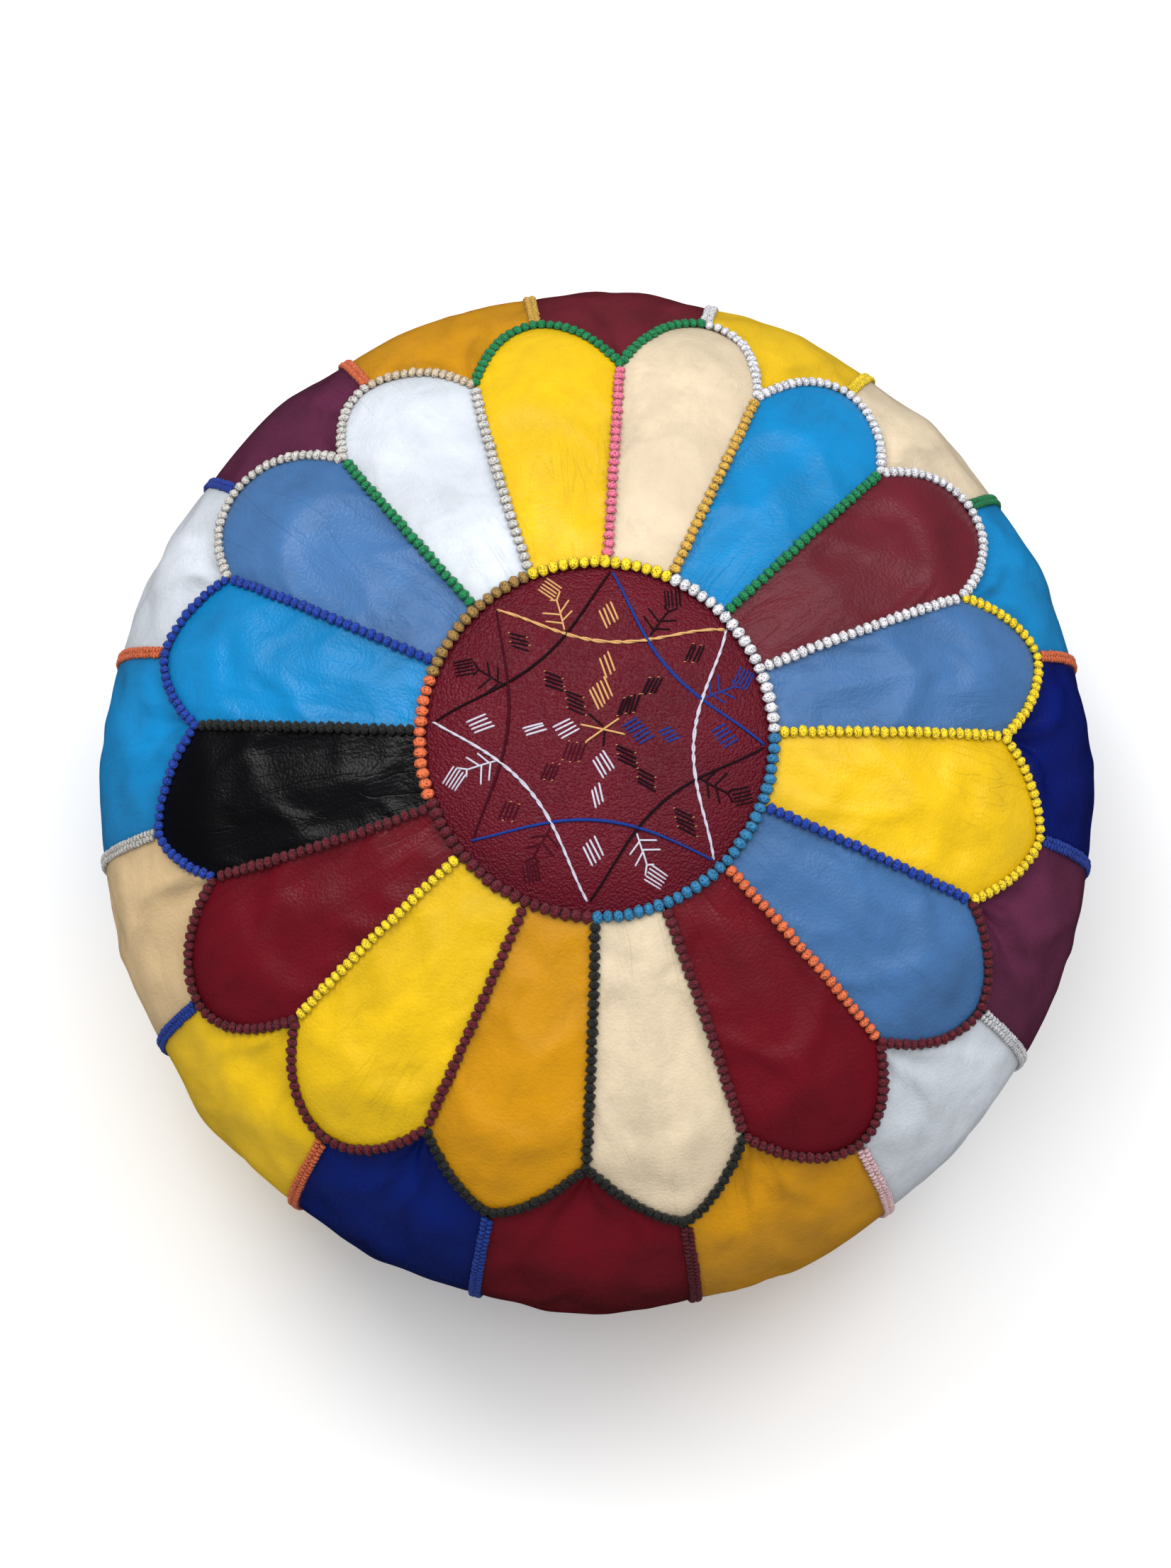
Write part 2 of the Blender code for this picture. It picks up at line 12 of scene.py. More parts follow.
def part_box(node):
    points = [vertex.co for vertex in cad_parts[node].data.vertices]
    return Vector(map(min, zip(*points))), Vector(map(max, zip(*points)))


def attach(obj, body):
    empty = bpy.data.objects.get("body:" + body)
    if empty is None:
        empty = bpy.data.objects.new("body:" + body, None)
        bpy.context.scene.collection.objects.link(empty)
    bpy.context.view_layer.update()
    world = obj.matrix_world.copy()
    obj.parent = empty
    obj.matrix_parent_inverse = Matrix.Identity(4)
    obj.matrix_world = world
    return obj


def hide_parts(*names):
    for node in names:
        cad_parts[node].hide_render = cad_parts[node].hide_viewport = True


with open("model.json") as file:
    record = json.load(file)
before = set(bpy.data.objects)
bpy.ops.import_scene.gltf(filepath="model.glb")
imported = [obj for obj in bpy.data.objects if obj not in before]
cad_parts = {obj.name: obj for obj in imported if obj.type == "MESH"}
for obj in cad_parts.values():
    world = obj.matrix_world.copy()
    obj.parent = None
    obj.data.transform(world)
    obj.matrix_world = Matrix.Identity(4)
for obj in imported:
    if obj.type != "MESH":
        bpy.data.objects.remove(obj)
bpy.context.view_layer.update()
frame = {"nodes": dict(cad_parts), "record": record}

# The studio: a pale floor, soft boxes overhead and to each side, and a camera
# nearly straight above, tipped a little towards the pouf's front.

FLOOR_SIZE = 16.0
FLOOR_COLOUR = (0.96, 0.96, 0.96, 1.0)
WORLD_COLOUR = (1.0, 1.0, 1.0, 1.0)
WORLD_STRENGTH = 0.50
AIM = Vector((-0.0059, 0.0002, 0.150))
CAMERA_TILT = math.radians(9.7)
CAMERA_DISTANCE = 2.2
CAMERA_LENS = 91.0


def blank(name):
    """A new material, its tree and its shader."""
    made = bpy.data.materials.new(name)
    made.use_nodes = True
    return made, made.node_tree, made.node_tree.nodes["Principled BSDF"]


def feed(tree, node, inputs):
    """Links or sets inputs of a shader node."""
    for name, value in inputs.items():
        if isinstance(value, bpy.types.NodeSocket):
            tree.links.new(value, node.inputs[name])
        else:
            node.inputs[name].default_value = value


def put_in(made):
    """Adds an object to the scene."""
    bpy.context.scene.collection.objects.link(made)
    return made


def soft_box(name, place, size, watts, glints=True):
    """A square lamp facing the pouf, which may show in its highlights."""
    lamp = bpy.data.lights.new(name, "AREA")
    lamp.size = size
    lamp.energy = watts
    box = put_in(bpy.data.objects.new(name, lamp))
    box.location = place
    box.rotation_euler = (AIM - Vector(place)).to_track_quat("-Z", "Y").to_euler()
    box.visible_glossy = glints


bpy.ops.object.select_all(action="DESELECT")
bpy.ops.mesh.primitive_plane_add(size=FLOOR_SIZE)
floor = bpy.context.object
floor.name = "floor"
floor_paint, tree, shader = blank("pale_floor")
feed(tree, shader, {"Base Color": FLOOR_COLOUR, "Roughness": 0.9, "Specular IOR Level": 0.1})
floor.data.materials.append(floor_paint)
floor.visible_glossy = False

soft_box("overhead_box", (0.00, 0.45, 2.40), 2.7, 48.0, glints=False)
soft_box("key_box", (-0.80, 0.95, 2.00), 0.80, 13.0)
soft_box("right_box", (1.10, 0.80, 2.05), 0.80, 10.0)

world = bpy.data.worlds.new("studio")
world.use_nodes = True
glow = world.node_tree.nodes["Background"]
feed(world.node_tree, glow, {"Color": WORLD_COLOUR, "Strength": WORLD_STRENGTH})
world.cycles_visibility.glossy = False
bpy.context.scene.world = world
bpy.context.scene.view_settings.view_transform = "Standard"

lens = bpy.data.cameras.new("camera")
lens.lens = CAMERA_LENS
camera = put_in(bpy.data.objects.new("camera", lens))
sight = Vector((0, -math.sin(CAMERA_TILT), math.cos(CAMERA_TILT)))
camera.location = AIM + sight * CAMERA_DISTANCE
camera.rotation_euler = (CAMERA_TILT, 0.0, 0.0)
bpy.context.scene.camera = camera

# The cover's form: where a seam runs is a bearing, in degrees clockwise from
# the back, and a reach, in metres over the leather from the middle of the top.
# The seams are read off the frame's own petals.

PETALS = 16
LENGTHEN = 1.02  # front to back
DOME_POWER = 2.2
UNDER_POWER = 2.5
DOME_STEPS = 241
FOOT_GAP = 0.0025  # from the base's edge to the side panels' foot
SEAM_GAP = 0.0005  # from a petal's edge to the middle of its seam
SETTLED_BACK = -0.0016
SETTLED_FRONT = 0.0098
SETTLED_RUN = 0.085
# How full each petal's rounded end is, left and right of its tip
END_FULLNESS = (
    (1.7, 2.3), (1.9, 1.7), (2.0, 2.1), (1.6, 1.6), (1.5, 1.4), (1.6, 1.8), (1.8, 1.8), (1.3, 1.3),
    (1.4, 1.3), (1.9, 1.9), (2.0, 1.8), (1.5, 1.4), (1.6, 1.6), (2.0, 2.0), (1.9, 1.8), (1.8, 1.6),
)  # fmt: skip


def degrees_between(a, b):
    """The short way round from one bearing to another."""
    return (b - a + 180) % 360 - 180


def cad_points(node):
    """A frame node's points."""
    mesh = frame["nodes"][node].data
    found = np.empty(3 * len(mesh.vertices))
    mesh.vertices.foreach_get("co", found)
    return found.reshape(-1, 3)


def radius_of(points):
    """How far points lie from the pouf's axis, with its lengthening taken out."""
    return np.hypot(points[:, 0], points[:, 1] / LENGTHEN)


def half_section(half_width, top, widest, foot):
    """The cover's half outline, from the middle of its top to its foot."""
    turns = np.linspace(0.0, math.pi / 2, DOME_STEPS)
    dome_r = half_width * np.sin(turns) ** (2 / DOME_POWER)
    dome_z = widest + (top - widest) * np.cos(turns) ** (2 / DOME_POWER)
    under = np.linspace(1.0, foot / half_width, DOME_STEPS)[1:]
    drop = (1 - under**UNDER_POWER) ** (1 / UNDER_POWER)
    return (
        np.concatenate([dome_r, half_width * under]),
        np.concatenate([dome_z, widest - widest * drop / drop[-1]]),
    )


side_points = np.concatenate([cad_points(f"side_panel_{n + 1:02d}") for n in range(PETALS)])
half_width = radius_of(side_points).max()
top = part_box("medallion")[1][2]
foot_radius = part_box("base_back")[1][0] + FOOT_GAP
petal_points = cad_points("petal_01")
petal_radius = radius_of(petal_points)


def misfit(widest):
    """How far the frame's petal lies off an outline that is widest at this height."""
    section_r, section_z = half_section(half_width, top, widest, foot_radius)
    dome_r, dome_z = section_r[:DOME_STEPS], section_z[:DOME_STEPS]
    off = np.interp(-petal_points[:, 2], -dome_z, dome_r) - petal_radius
    return np.sort(np.abs(off))[: len(off) // 3].sum()


widest_at = min(np.arange(0.130, 0.160, 0.0005), key=misfit)
SECTION_R, SECTION_Z = half_section(half_width, top, widest_at, foot_radius)
section_steps = np.hypot(np.diff(SECTION_R), np.diff(SECTION_Z))
SECTION_S = np.concatenate([[0.0], np.cumsum(section_steps)])
FOOT_REACH = SECTION_S[-1]


def reach_at(heights):
    """The reach at these heights on the top."""
    return np.interp(-heights, -SECTION_Z[:DOME_STEPS], SECTION_S[:DOME_STEPS])


def settled(bearing, reach):
    """Extra fullness at the widest level, where the stuffing has settled forwards."""
    level = np.exp(-(((reach - SECTION_S[DOME_STEPS - 1]) / SETTLED_RUN) ** 2))
    front = 0.5 - 0.5 * np.cos(np.radians(bearing))
    return level * (SETTLED_BACK + (SETTLED_FRONT - SETTLED_BACK) * front**2.2)


def on_cover(bearing, reach, lift=0.0):
    """Points on the cover, or lifted off it; the inputs may be arrays."""
    reach = np.clip(reach, 0.0, FOOT_REACH)
    lift = lift + settled(bearing, reach)
    near, far = np.clip(reach - 0.002, 0.0, None), np.clip(reach + 0.002, None, FOOT_REACH)
    run_r = np.interp(far, SECTION_S, SECTION_R) - np.interp(near, SECTION_S, SECTION_R)
    run_z = np.interp(far, SECTION_S, SECTION_Z) - np.interp(near, SECTION_S, SECTION_Z)
    length = np.hypot(run_r, run_z)
    radius = np.interp(reach, SECTION_S, SECTION_R) - lift * run_z / length
    height = np.interp(reach, SECTION_S, SECTION_Z) + lift * run_r / length
    turn = np.radians(bearing)
    return np.stack([radius * np.sin(turn), LENGTHEN * radius * np.cos(turn), height], axis=-1)


def read_petal(number):
    """Where a petal's corners are: ring bearings, notches and tip."""
    points = cad_points(f"petal_{number:02d}")
    radius = radius_of(points)
    reach = reach_at(points[:, 2])
    outside = np.abs(np.interp(reach, SECTION_S, SECTION_R) - radius) < 0.0004
    bearing = np.degrees(np.arctan2(points[:, 0], points[:, 1] / LENGTHEN))
    middle = bearing[reach.argmax()]
    bearing = middle + (bearing - middle + 180) % 360 - 180
    bearing, reach = bearing[outside], reach[outside]
    inner = reach < reach.min() + 0.002
    outer = np.flatnonzero(reach > 0.205)
    left, right = outer[bearing[outer].argmin()], outer[bearing[outer].argmax()]
    tip = reach.argmax()
    return (
        (bearing[inner].min(), bearing[inner].max()),
        (bearing[left], reach[left]),
        (bearing[tip], reach[tip]),
        (bearing[right], reach[right]),
    )


read = [read_petal(n) for n in range(1, PETALS + 1)]
SEAM_RING, NOTCH, TIP, ring_reaches = [], [], [], []
for n in range(PETALS):
    before, here = read[n - 1], read[n]
    away = degrees_between(here[0][0], before[0][1])
    SEAM_RING.append((here[0][0] + away / 2) % 360)
    away = degrees_between(here[1][0], before[3][0])
    notch_reach = (before[3][1] + here[1][1]) / 2 + SEAM_GAP
    NOTCH.append(((here[1][0] + away / 2) % 360, notch_reach))
    TIP.append((here[2][0] % 360, here[2][1] + SEAM_GAP))
    ring_reaches.append(reach_at(cad_points(f"petal_{n + 1:02d}")[:, 2].max()))
RING_REACH = float(np.median(ring_reaches)) - SEAM_GAP


def petal_end(petal, across):
    """Bearing and reach along a petal's rounded end; across runs from -1 to 1."""
    tip, tip_reach = TIP[petal]
    corner, base = NOTCH[petal if across < 0 else (petal + 1) % PETALS]
    full = END_FULLNESS[petal][0 if across < 0 else 1]
    share = abs(across)
    bearing = tip + degrees_between(tip, corner) * share
    return bearing, base + (tip_reach - base) * (1 - share**full)


# The cover before it is finished: petals and side panels sewn edge to edge
# and filled. The seams hold still, and the leather between them swells and
# puckers under the stuffing, as one sheet.

ACROSS_CELLS = 24
PETAL_CELLS = 32
SIDE_CELLS = 44
TOP_DIP = 0.0032  # how deep a seam lies on the top, and on the sides
SIDE_DIP = 0.0010
DIP_ENDS = (0.265, 0.310)  # reaches where the first changes to the second
CROWN = 0.0024
SIDE_CROWN = 0.0010
CROWN_RUN = 0.030
SLOW_SWELL = (0.0011, 0.0016)  # uneven filling under petals, and side panels
SOFT_FOLD = (0.0014, 0.0020)
NOTCH_FOLD = 0.017
NOTCH_FOLD_RUN = 0.034
NOTCH_FOLD_START = 0.006
STUFFING_PRESSURE = 5.0
SPARE_ON_TOP = 0.006
SPARE_ON_SIDES = 0.022
MOST_SWELL = 0.012
MOST_SINK = 0.002
SWELL_FRAMES = 24

hand = random.Random(16)
across_steps = np.linspace(-1.0, 1.0, ACROSS_CELLS + 1)
# Closer together at the notches
across_steps = 0.6 * across_steps + 0.4 * np.sin(across_steps * math.pi / 2)


def seam_dip(reach):
    """How deep a seam lies at this reach."""
    return np.interp(reach, DIP_ENDS, (TOP_DIP, SIDE_DIP))


def petal_places(petal):
    """Bearing and reach over a petal: rows from the ring to its rounded end."""
    ends = np.array([petal_end(petal, across) for across in across_steps])
    span = degrees_between(SEAM_RING[petal], SEAM_RING[(petal + 1) % PETALS])
    starts = SEAM_RING[petal] + span * (across_steps + 1) / 2
    away = degrees_between(starts, ends[:, 0])
    share = np.linspace(0.0, 1.0, PETAL_CELLS + 1)[:, None]
    return starts + away * share, RING_REACH + (ends[:, 1] - RING_REACH) * share


def side_places(panel):
    """Bearing and reach over a side panel: rows from two petals' ends to the foot."""
    half = ACROSS_CELLS // 2
    tops = [petal_end((panel - 1) % PETALS, across) for across in across_steps[half:]]
    tops += [petal_end(panel, across) for across in across_steps[1 : half + 1]]
    tops = np.array(tops)
    bearing = NOTCH[panel][0] + degrees_between(NOTCH[panel][0], tops[:, 0])
    share = np.linspace(0.0, 1.0, SIDE_CELLS + 1)[:, None] ** 1.25
    return bearing + 0 * share, tops[:, 1] + (FOOT_REACH - tops[:, 1]) * share


def unit(rows):
    """Vectors made one long."""
    return rows / np.maximum(np.linalg.norm(rows, axis=-1, keepdims=True), 1e-9)


def rim_of(grid):
    """The places round a grid's edge, once round."""
    return np.concatenate([grid[0], grid[1:-1, -1], grid[-1, ::-1], grid[-2:0:-1, 0]])


def from_rim(grid):
    """How far each point of a grid lies from its edge."""
    flat, rim = grid.reshape(-1, 3), rim_of(grid)
    away = np.linalg.norm(flat[:, None, :] - rim[None, :, :], axis=2).min(axis=1)
    return away.reshape(grid.shape[:2])


def quads_of(index):
    """The faces between neighbouring rows and columns of point numbers."""
    corners = (index[:-1, :-1], index[1:, :-1], index[1:, 1:], index[:-1, 1:])
    return np.stack(corners, axis=-1).reshape(-1, 4)


def uneven(grid, size, seed):
    """Slow, soft noise over a grid of points."""
    shift = Vector((seed, 7.3, 1.1))
    lift = [noise.noise(Vector(point) / size + shift) for point in grid.reshape(-1, 3)]
    return np.array(lift).reshape(grid.shape[:2])


panels, folds, laid = [], [], []
for petal in range(PETALS):
    bearing, reach = petal_places(petal)
    flat = on_cover(bearing, reach)
    inside = 1 - np.exp(-((from_rim(flat) / CROWN_RUN) ** 2))
    dip = seam_dip(reach)
    lift = -dip + (dip + CROWN) * inside + SLOW_SWELL[0] * uneven(flat, 0.035, petal) * inside
    panels.append(on_cover(bearing, reach, lift))
    radius = np.interp(reach, SECTION_S, SECTION_R)
    aside = np.radians(degrees_between(TIP[petal][0], bearing)) * radius
    laid.append(np.stack([aside, reach, 0 * reach + 0.37 * petal], axis=-1))
    soft = SOFT_FOLD[0] * uneven(laid[-1] * (1.0, 0.35, 1.0), 0.013, 90) * inside
    folds.append(soft[..., None])
for panel in range(PETALS):
    bearing, reach = side_places(panel)
    flat = on_cover(bearing, reach)
    away = from_rim(flat)
    inside = 1 - np.exp(-((away / CROWN_RUN) ** 2))
    corner, corner_reach = NOTCH[panel]
    radius = np.interp(reach, SECTION_S, SECTION_R)
    aside = np.radians(degrees_between(corner, bearing)) * radius
    down = reach - corner_reach
    fan, distance = np.arctan2(aside, down), np.hypot(aside, down)
    waves = fan * hand.uniform(3.2, 5.0) + 2.0 * uneven(flat, 0.03, panel) + hand.uniform(0.0, 3.0)
    puckers = np.abs(np.sin(waves)) ** 0.7 - 0.6
    puckers *= np.exp(-distance / NOTCH_FOLD_RUN) * (1 - np.exp(-away / NOTCH_FOLD_START))
    dip = seam_dip(reach)
    crown = np.interp(reach, DIP_ENDS, (CROWN, SIDE_CROWN))
    slow = SLOW_SWELL[1] * uneven(flat, 0.04, 40 + panel)
    panels.append(on_cover(bearing, reach, -dip + (dip + crown) * inside + slow * inside))
    laid.append(np.stack([aside, reach, 0 * reach + 0.37 * panel + 9.0], axis=-1))
    soft = SOFT_FOLD[1] * uneven(laid[-1] * (1.0, 0.4, 1.0), 0.018, 70) * inside
    folds.append((NOTCH_FOLD * hand.uniform(0.6, 1.2) * puckers + soft)[..., None])

sizes = [grid.shape[0] * grid.shape[1] for grid in panels]
starts = np.concatenate([[0], np.cumsum(sizes)[:-1]])
every_point = np.concatenate([grid.reshape(-1, 3) for grid in panels])
_, kept, sewn_to = np.unique(
    np.round(every_point, 5), axis=0, return_index=True, return_inverse=True
)
sewn_to = sewn_to.reshape(-1)
faces, rim_points, side_ids = [], set(), set()
for which, (start, grid) in enumerate(zip(starts, panels)):
    index = (start + np.arange(sizes[which])).reshape(grid.shape[:2])
    rim_points.update(sewn_to[rim_of(index)].tolist())
    if which >= PETALS:
        side_ids.update(sewn_to[index.reshape(-1)].tolist())
    faces += sewn_to[quads_of(index)].tolist()

sewn_mesh = bpy.data.meshes.new("sewn_cover")
sewn_mesh.from_pydata(every_point[kept].tolist(), [], faces)
sewn = put_in(bpy.data.objects.new("sewn_cover", sewn_mesh))
for name, held in (("seams", rim_points), ("sides", side_ids)):
    sewn.vertex_groups.new(name=name).add(sorted(held), 1.0, "REPLACE")
leather_cloth = sewn.modifiers.new("stuffed", "CLOTH")
cloth = leather_cloth.settings
cloth.quality = 6
cloth.mass = 0.4
cloth.tension_stiffness = cloth.compression_stiffness = 40.0
cloth.shear_stiffness = 20.0
cloth.bending_stiffness = 3.0
cloth.use_pressure = True
cloth.uniform_pressure_force = STUFFING_PRESSURE
cloth.shrink_min = -SPARE_ON_TOP
cloth.shrink_max = -SPARE_ON_SIDES
cloth.vertex_group_shrink = "sides"
cloth.vertex_group_mass = "seams"
cloth.effector_weights.gravity = 0.0
leather_cloth.collision_settings.use_collision = False
leather_cloth.point_cache.frame_end = SWELL_FRAMES
for step in range(1, SWELL_FRAMES + 1):
    bpy.context.scene.frame_set(step)
swollen_mesh = sewn.evaluated_get(bpy.context.evaluated_depsgraph_get()).to_mesh()
swollen = np.empty(3 * len(kept))
swollen_mesh.vertices.foreach_get("co", swollen)
swollen = swollen.reshape(-1, 3)
bpy.data.objects.remove(sewn)
bpy.context.scene.frame_set(1)
swell = swollen - every_point[kept]
outward = unit(every_point[kept] - np.array(AIM))
swell -= outward * np.minimum((swell * outward).sum(axis=1, keepdims=True) + MOST_SINK, 0.0)
length = np.linalg.norm(swell, axis=1, keepdims=True)
swollen = every_point[kept] + swell * np.minimum(1.0, MOST_SWELL / np.maximum(length, 1e-9))
for which, (start, size, grid) in enumerate(zip(starts, sizes, panels)):
    grid = swollen[sewn_to[start : start + size]].reshape(grid.shape)
    outward = np.cross(np.gradient(grid, axis=0), np.gradient(grid, axis=1))
    panels[which] = grid + folds[which] * unit(outward)

# The petals and the side panels: goat leather dyed by hand in each colour,
# 1.5 mm thick, its edges turned down into the seams.

LEATHER = 0.0015
SEAM_INSET = 0.0005
# How far from a seam its painted shade reaches
SEAM_SHADE_RUN = 0.006
# A fold this deep gets the darkest painted shade
DEEP_FOLD = 0.0040  # a fold this deep is as dark as it gets
LEATHER_COLOURS = {
    "cream": (0.62, 0.51, 0.36),
    "bright_blue": (0.0018, 0.189, 0.45),
    "burgundy": (0.126, 0.013, 0.022),
    "slate_blue": (0.05, 0.14, 0.324),
    "yellow": (0.72, 0.45, 0.0036),
    "dark_red": (0.126, 0.0027, 0.009),
    "ochre": (0.522, 0.234, 0.0018),
    "black": (0.0036, 0.0036, 0.0045),
    "white": (0.56, 0.60, 0.655),
    "navy": (0.0009, 0.0063, 0.117),
    "purple": (0.099, 0.018, 0.05),
    "royal_blue": (0.0009, 0.009, 0.117),
    "tan": (0.63, 0.45, 0.243),
    "natural": (0.45, 0.297, 0.162),
}


def wire(tree, kind, inputs=None, **settings):
    """A shader node with its settings, its input values and its links."""
    made = tree.nodes.new("ShaderNode" + kind)
    for name, value in settings.items():
        setattr(made, name, value)
    feed(tree, made, inputs or {})
    return made


def shade(colour, amount):
    """A colour made darker or lighter."""
    return tuple(min(1.0, part * amount) for part in colour) + (1.0,)


def mixed(tree, factor, a, b):
    """Two colours mixed."""
    inputs = {"Factor": factor, "A": a, "B": b}
    return wire(tree, "Mix", inputs, data_type="RGBA").outputs["Result"]


def spread(tree, value, low, high, to_low=0.0, to_high=1.0):
    """A value stretched from one range to another."""
    ranges = {"From Min": low, "From Max": high, "To Min": to_low, "To Max": to_high}
    return wire(tree, "MapRange", {"Value": value, **ranges}).outputs["Result"]


def times(tree, a, b):
    """Two values multiplied."""
    return wire(tree, "Math", {0: a, 1: b}, operation="MULTIPLY").outputs["Value"]


def relief(tree, height, distance, strength, under=None):
    """A bump, over the one under it."""
    inputs = {"Height": height, "Distance": distance, "Strength": strength}
    if under is not None:
        inputs["Normal"] = under
    return wire(tree, "Bump", inputs).outputs["Normal"]


def clouds(tree, where, scale, detail, roughness=0.5, distortion=0.0):
    """Soft noise over a piece."""
    look = {"Scale": scale, "Detail": detail, "Roughness": roughness, "Distortion": distortion}
    return wire(tree, "TexNoise", {"Vector": where, **look}).outputs["Fac"]


def marked(tree, name, output="Fac"):
    """What a piece keeps under this name at each of its points."""
    return wire(tree, "Attribute", attribute_name=name).outputs[output]


def dyed_leather(name, colour, grain=1.0, mottle=0.15, pebble=620.0, wrinkles=1.0):
    """Semi-gloss dyed leather: mottled dye, stretch creases and a pebbled grain, with painted
    shade near the seams, in fold valleys and along the creases.
    """
    made, tree, shader = blank(name)
    where = wire(tree, "TexCoord").outputs["Object"]
    seam, hollow = marked(tree, "seam_near"), marked(tree, "hollow")
    along = {"Vector": marked(tree, "laid", "Vector"), "Scale": (1.0, 0.16, 1.0)}
    stretched = wire(tree, "Mapping", along).outputs["Vector"]

    worked = spread(tree, clouds(tree, where, 11.0, 2.0), 0.50, 0.68)
    # Long crease lines: a bump, and painted shade along them
    lines = clouds(tree, stretched, 70.0, 3.0, distortion=0.8)
    off = wire(tree, "Math", {0: lines, 1: 0.5}, operation="SUBTRACT").outputs["Value"]
    off = wire(tree, "Math", {0: off}, operation="ABSOLUTE").outputs["Value"]
    creases = times(tree, spread(tree, off, 0.0, 0.024, wrinkles, 0.0), worked)

    cloud = clouds(tree, where, 15.0, 6.0, 0.65, 0.5)
    blotch = clouds(tree, where, 70.0, 4.0, 0.6, 1.0)
    pale, deep = shade(colour, 1 + mottle), shade(colour, 1 - mottle)
    tones = mixed(tree, spread(tree, cloud, 0.34, 0.66), deep, pale)
    for share, amount in (
        (spread(tree, blotch, 0.52, 0.78, 0.0, 0.35), 0.72),
        # painted shade: darker near the seams
        (times(tree, seam, 0.45), 0.50),
        # painted shade in the valleys of the folds
        (times(tree, hollow, 0.80), 0.45),
        # painted shade along the crease lines
        (times(tree, creases, 0.16), 0.60),
    ):
        tones = mixed(tree, share, tones, shade(colour, amount))

    pebbles = {"Vector": where, "Scale": pebble, "Smoothness": 0.5}
    cells = wire(tree, "TexVoronoi", pebbles, feature="SMOOTH_F1").outputs["Distance"]
    tight = spread(tree, seam, 0.0, 1.0, 0.20 * wrinkles, 0.55 * wrinkles)
    normal = None
    for height, distance, strength in (
        (clouds(tree, where, 1500.0, 2.0), 0.0002, 0.15 * grain),
        (times(tree, cells, -1.0), 0.0005, 0.40 * grain),
        (clouds(tree, where, 130.0, 5.0, 0.6, 0.9), 0.0012, tight),
        (clouds(tree, stretched, 60.0, 3.0, distortion=0.6), 0.0030, 0.30 * wrinkles),
        (times(tree, creases, -1.0), 0.0008, 0.38),
    ):
        normal = relief(tree, height, distance, strength, normal)
    dull = spread(tree, cloud, 0.3, 0.7, 0.45, 0.31)
    feed(tree, shader, {"Base Color": tones, "Normal": normal, "Roughness": dull})
    shader.inputs["Specular IOR Level"].default_value = 0.28
    return made


dyes = {name: dyed_leather("leather_" + name, dye) for name, dye in LEATHER_COLOURS.items()}


def show(name, points, faces, material):
    """A new smooth piece, with its place in its mesh."""
    mesh = bpy.data.meshes.new(name)
    mesh.from_pydata(np.reshape(points, (-1, 3)).tolist(), [], faces)
    mesh.update()
    mesh.materials.append(material)
    mesh.polygons.foreach_set("use_smooth", np.ones(len(mesh.polygons), dtype=bool))
    return put_in(bpy.data.objects.new(name, mesh))


def mark(piece, name, values):
    """Keeps a number or a vector at each point of a piece, for its material."""
    plain = np.size(values) == len(piece.data.vertices)
    kind, field = ("FLOAT", "value") if plain else ("FLOAT_VECTOR", "vector")
    kept_here = piece.data.attributes.new(name, kind, "POINT")
    kept_here.data.foreach_set(field, np.reshape(values, -1))


def walled(piece, thickness, offset=-1.0):
    """Gives a piece's skin a thickness."""
    wall = piece.modifiers.new("wall", "SOLIDIFY")
    wall.thickness = thickness
    wall.offset = offset


def pick(piece):
    """Makes this the one selected piece."""
    bpy.ops.object.select_all(action="DESELECT")
    bpy.context.view_layer.objects.active = piece
    piece.select_set(True)


def settle(piece):
    """Applies every modifier of a piece."""
    pick(piece)
    for modifier in list(piece.modifiers):
        bpy.ops.object.modifier_apply(modifier=modifier.name)
    piece.select_set(False)


def leather_piece(name, grid, dye, laid_at=None, fold=0.0):
    """One cut of leather over a grid of points: thick, with rolled edges."""
    grid = grid.copy()
    # Nearness to the seams: it paints shade there and strengthens the wrinkle bump
    near = np.exp(-from_rim(grid) / SEAM_SHADE_RUN)
    for turned in (grid, grid[::-1], grid.swapaxes(0, 1), grid.swapaxes(0, 1)[::-1]):
        turned[0] += unit(turned[1] - turned[0]) * SEAM_INSET
    index = np.arange(near.size).reshape(near.shape)
    piece = show(name, grid, quads_of(index).tolist(), dyes[dye])
    mark(piece, "seam_near", near)
    mark(piece, "laid", grid if laid_at is None else laid_at)
    # Painted shade: how deep each point lies in a fold's valley
    mark(piece, "hollow", np.clip(-fold / DEEP_FOLD, 0.0, 1.0) + np.zeros(near.size))
    walled(piece, LEATHER)
    soften = piece.modifiers.new("soften", "SUBSURF")
    soften.levels = soften.render_levels = 1
    settle(piece)
    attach(piece, "pouf")
    return piece


slots = {part["node"]: part["material_slot"] for part in frame["record"]["subparts"]}
for number in range(PETALS):
    for kind, which in (("petal", number), ("side_panel", PETALS + number)):
        node = f"{kind}_{number + 1:02d}"
        dye, fold = slots[node].replace("leather_", ""), folds[which].reshape(-1)
        piece = leather_piece(node + "_leather", panels[which], dye, laid[which], fold)
        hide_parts(node)

# The braids: shiny thread knotted over every seam, one knot close after the
# next. Each length of one colour is its own piece.

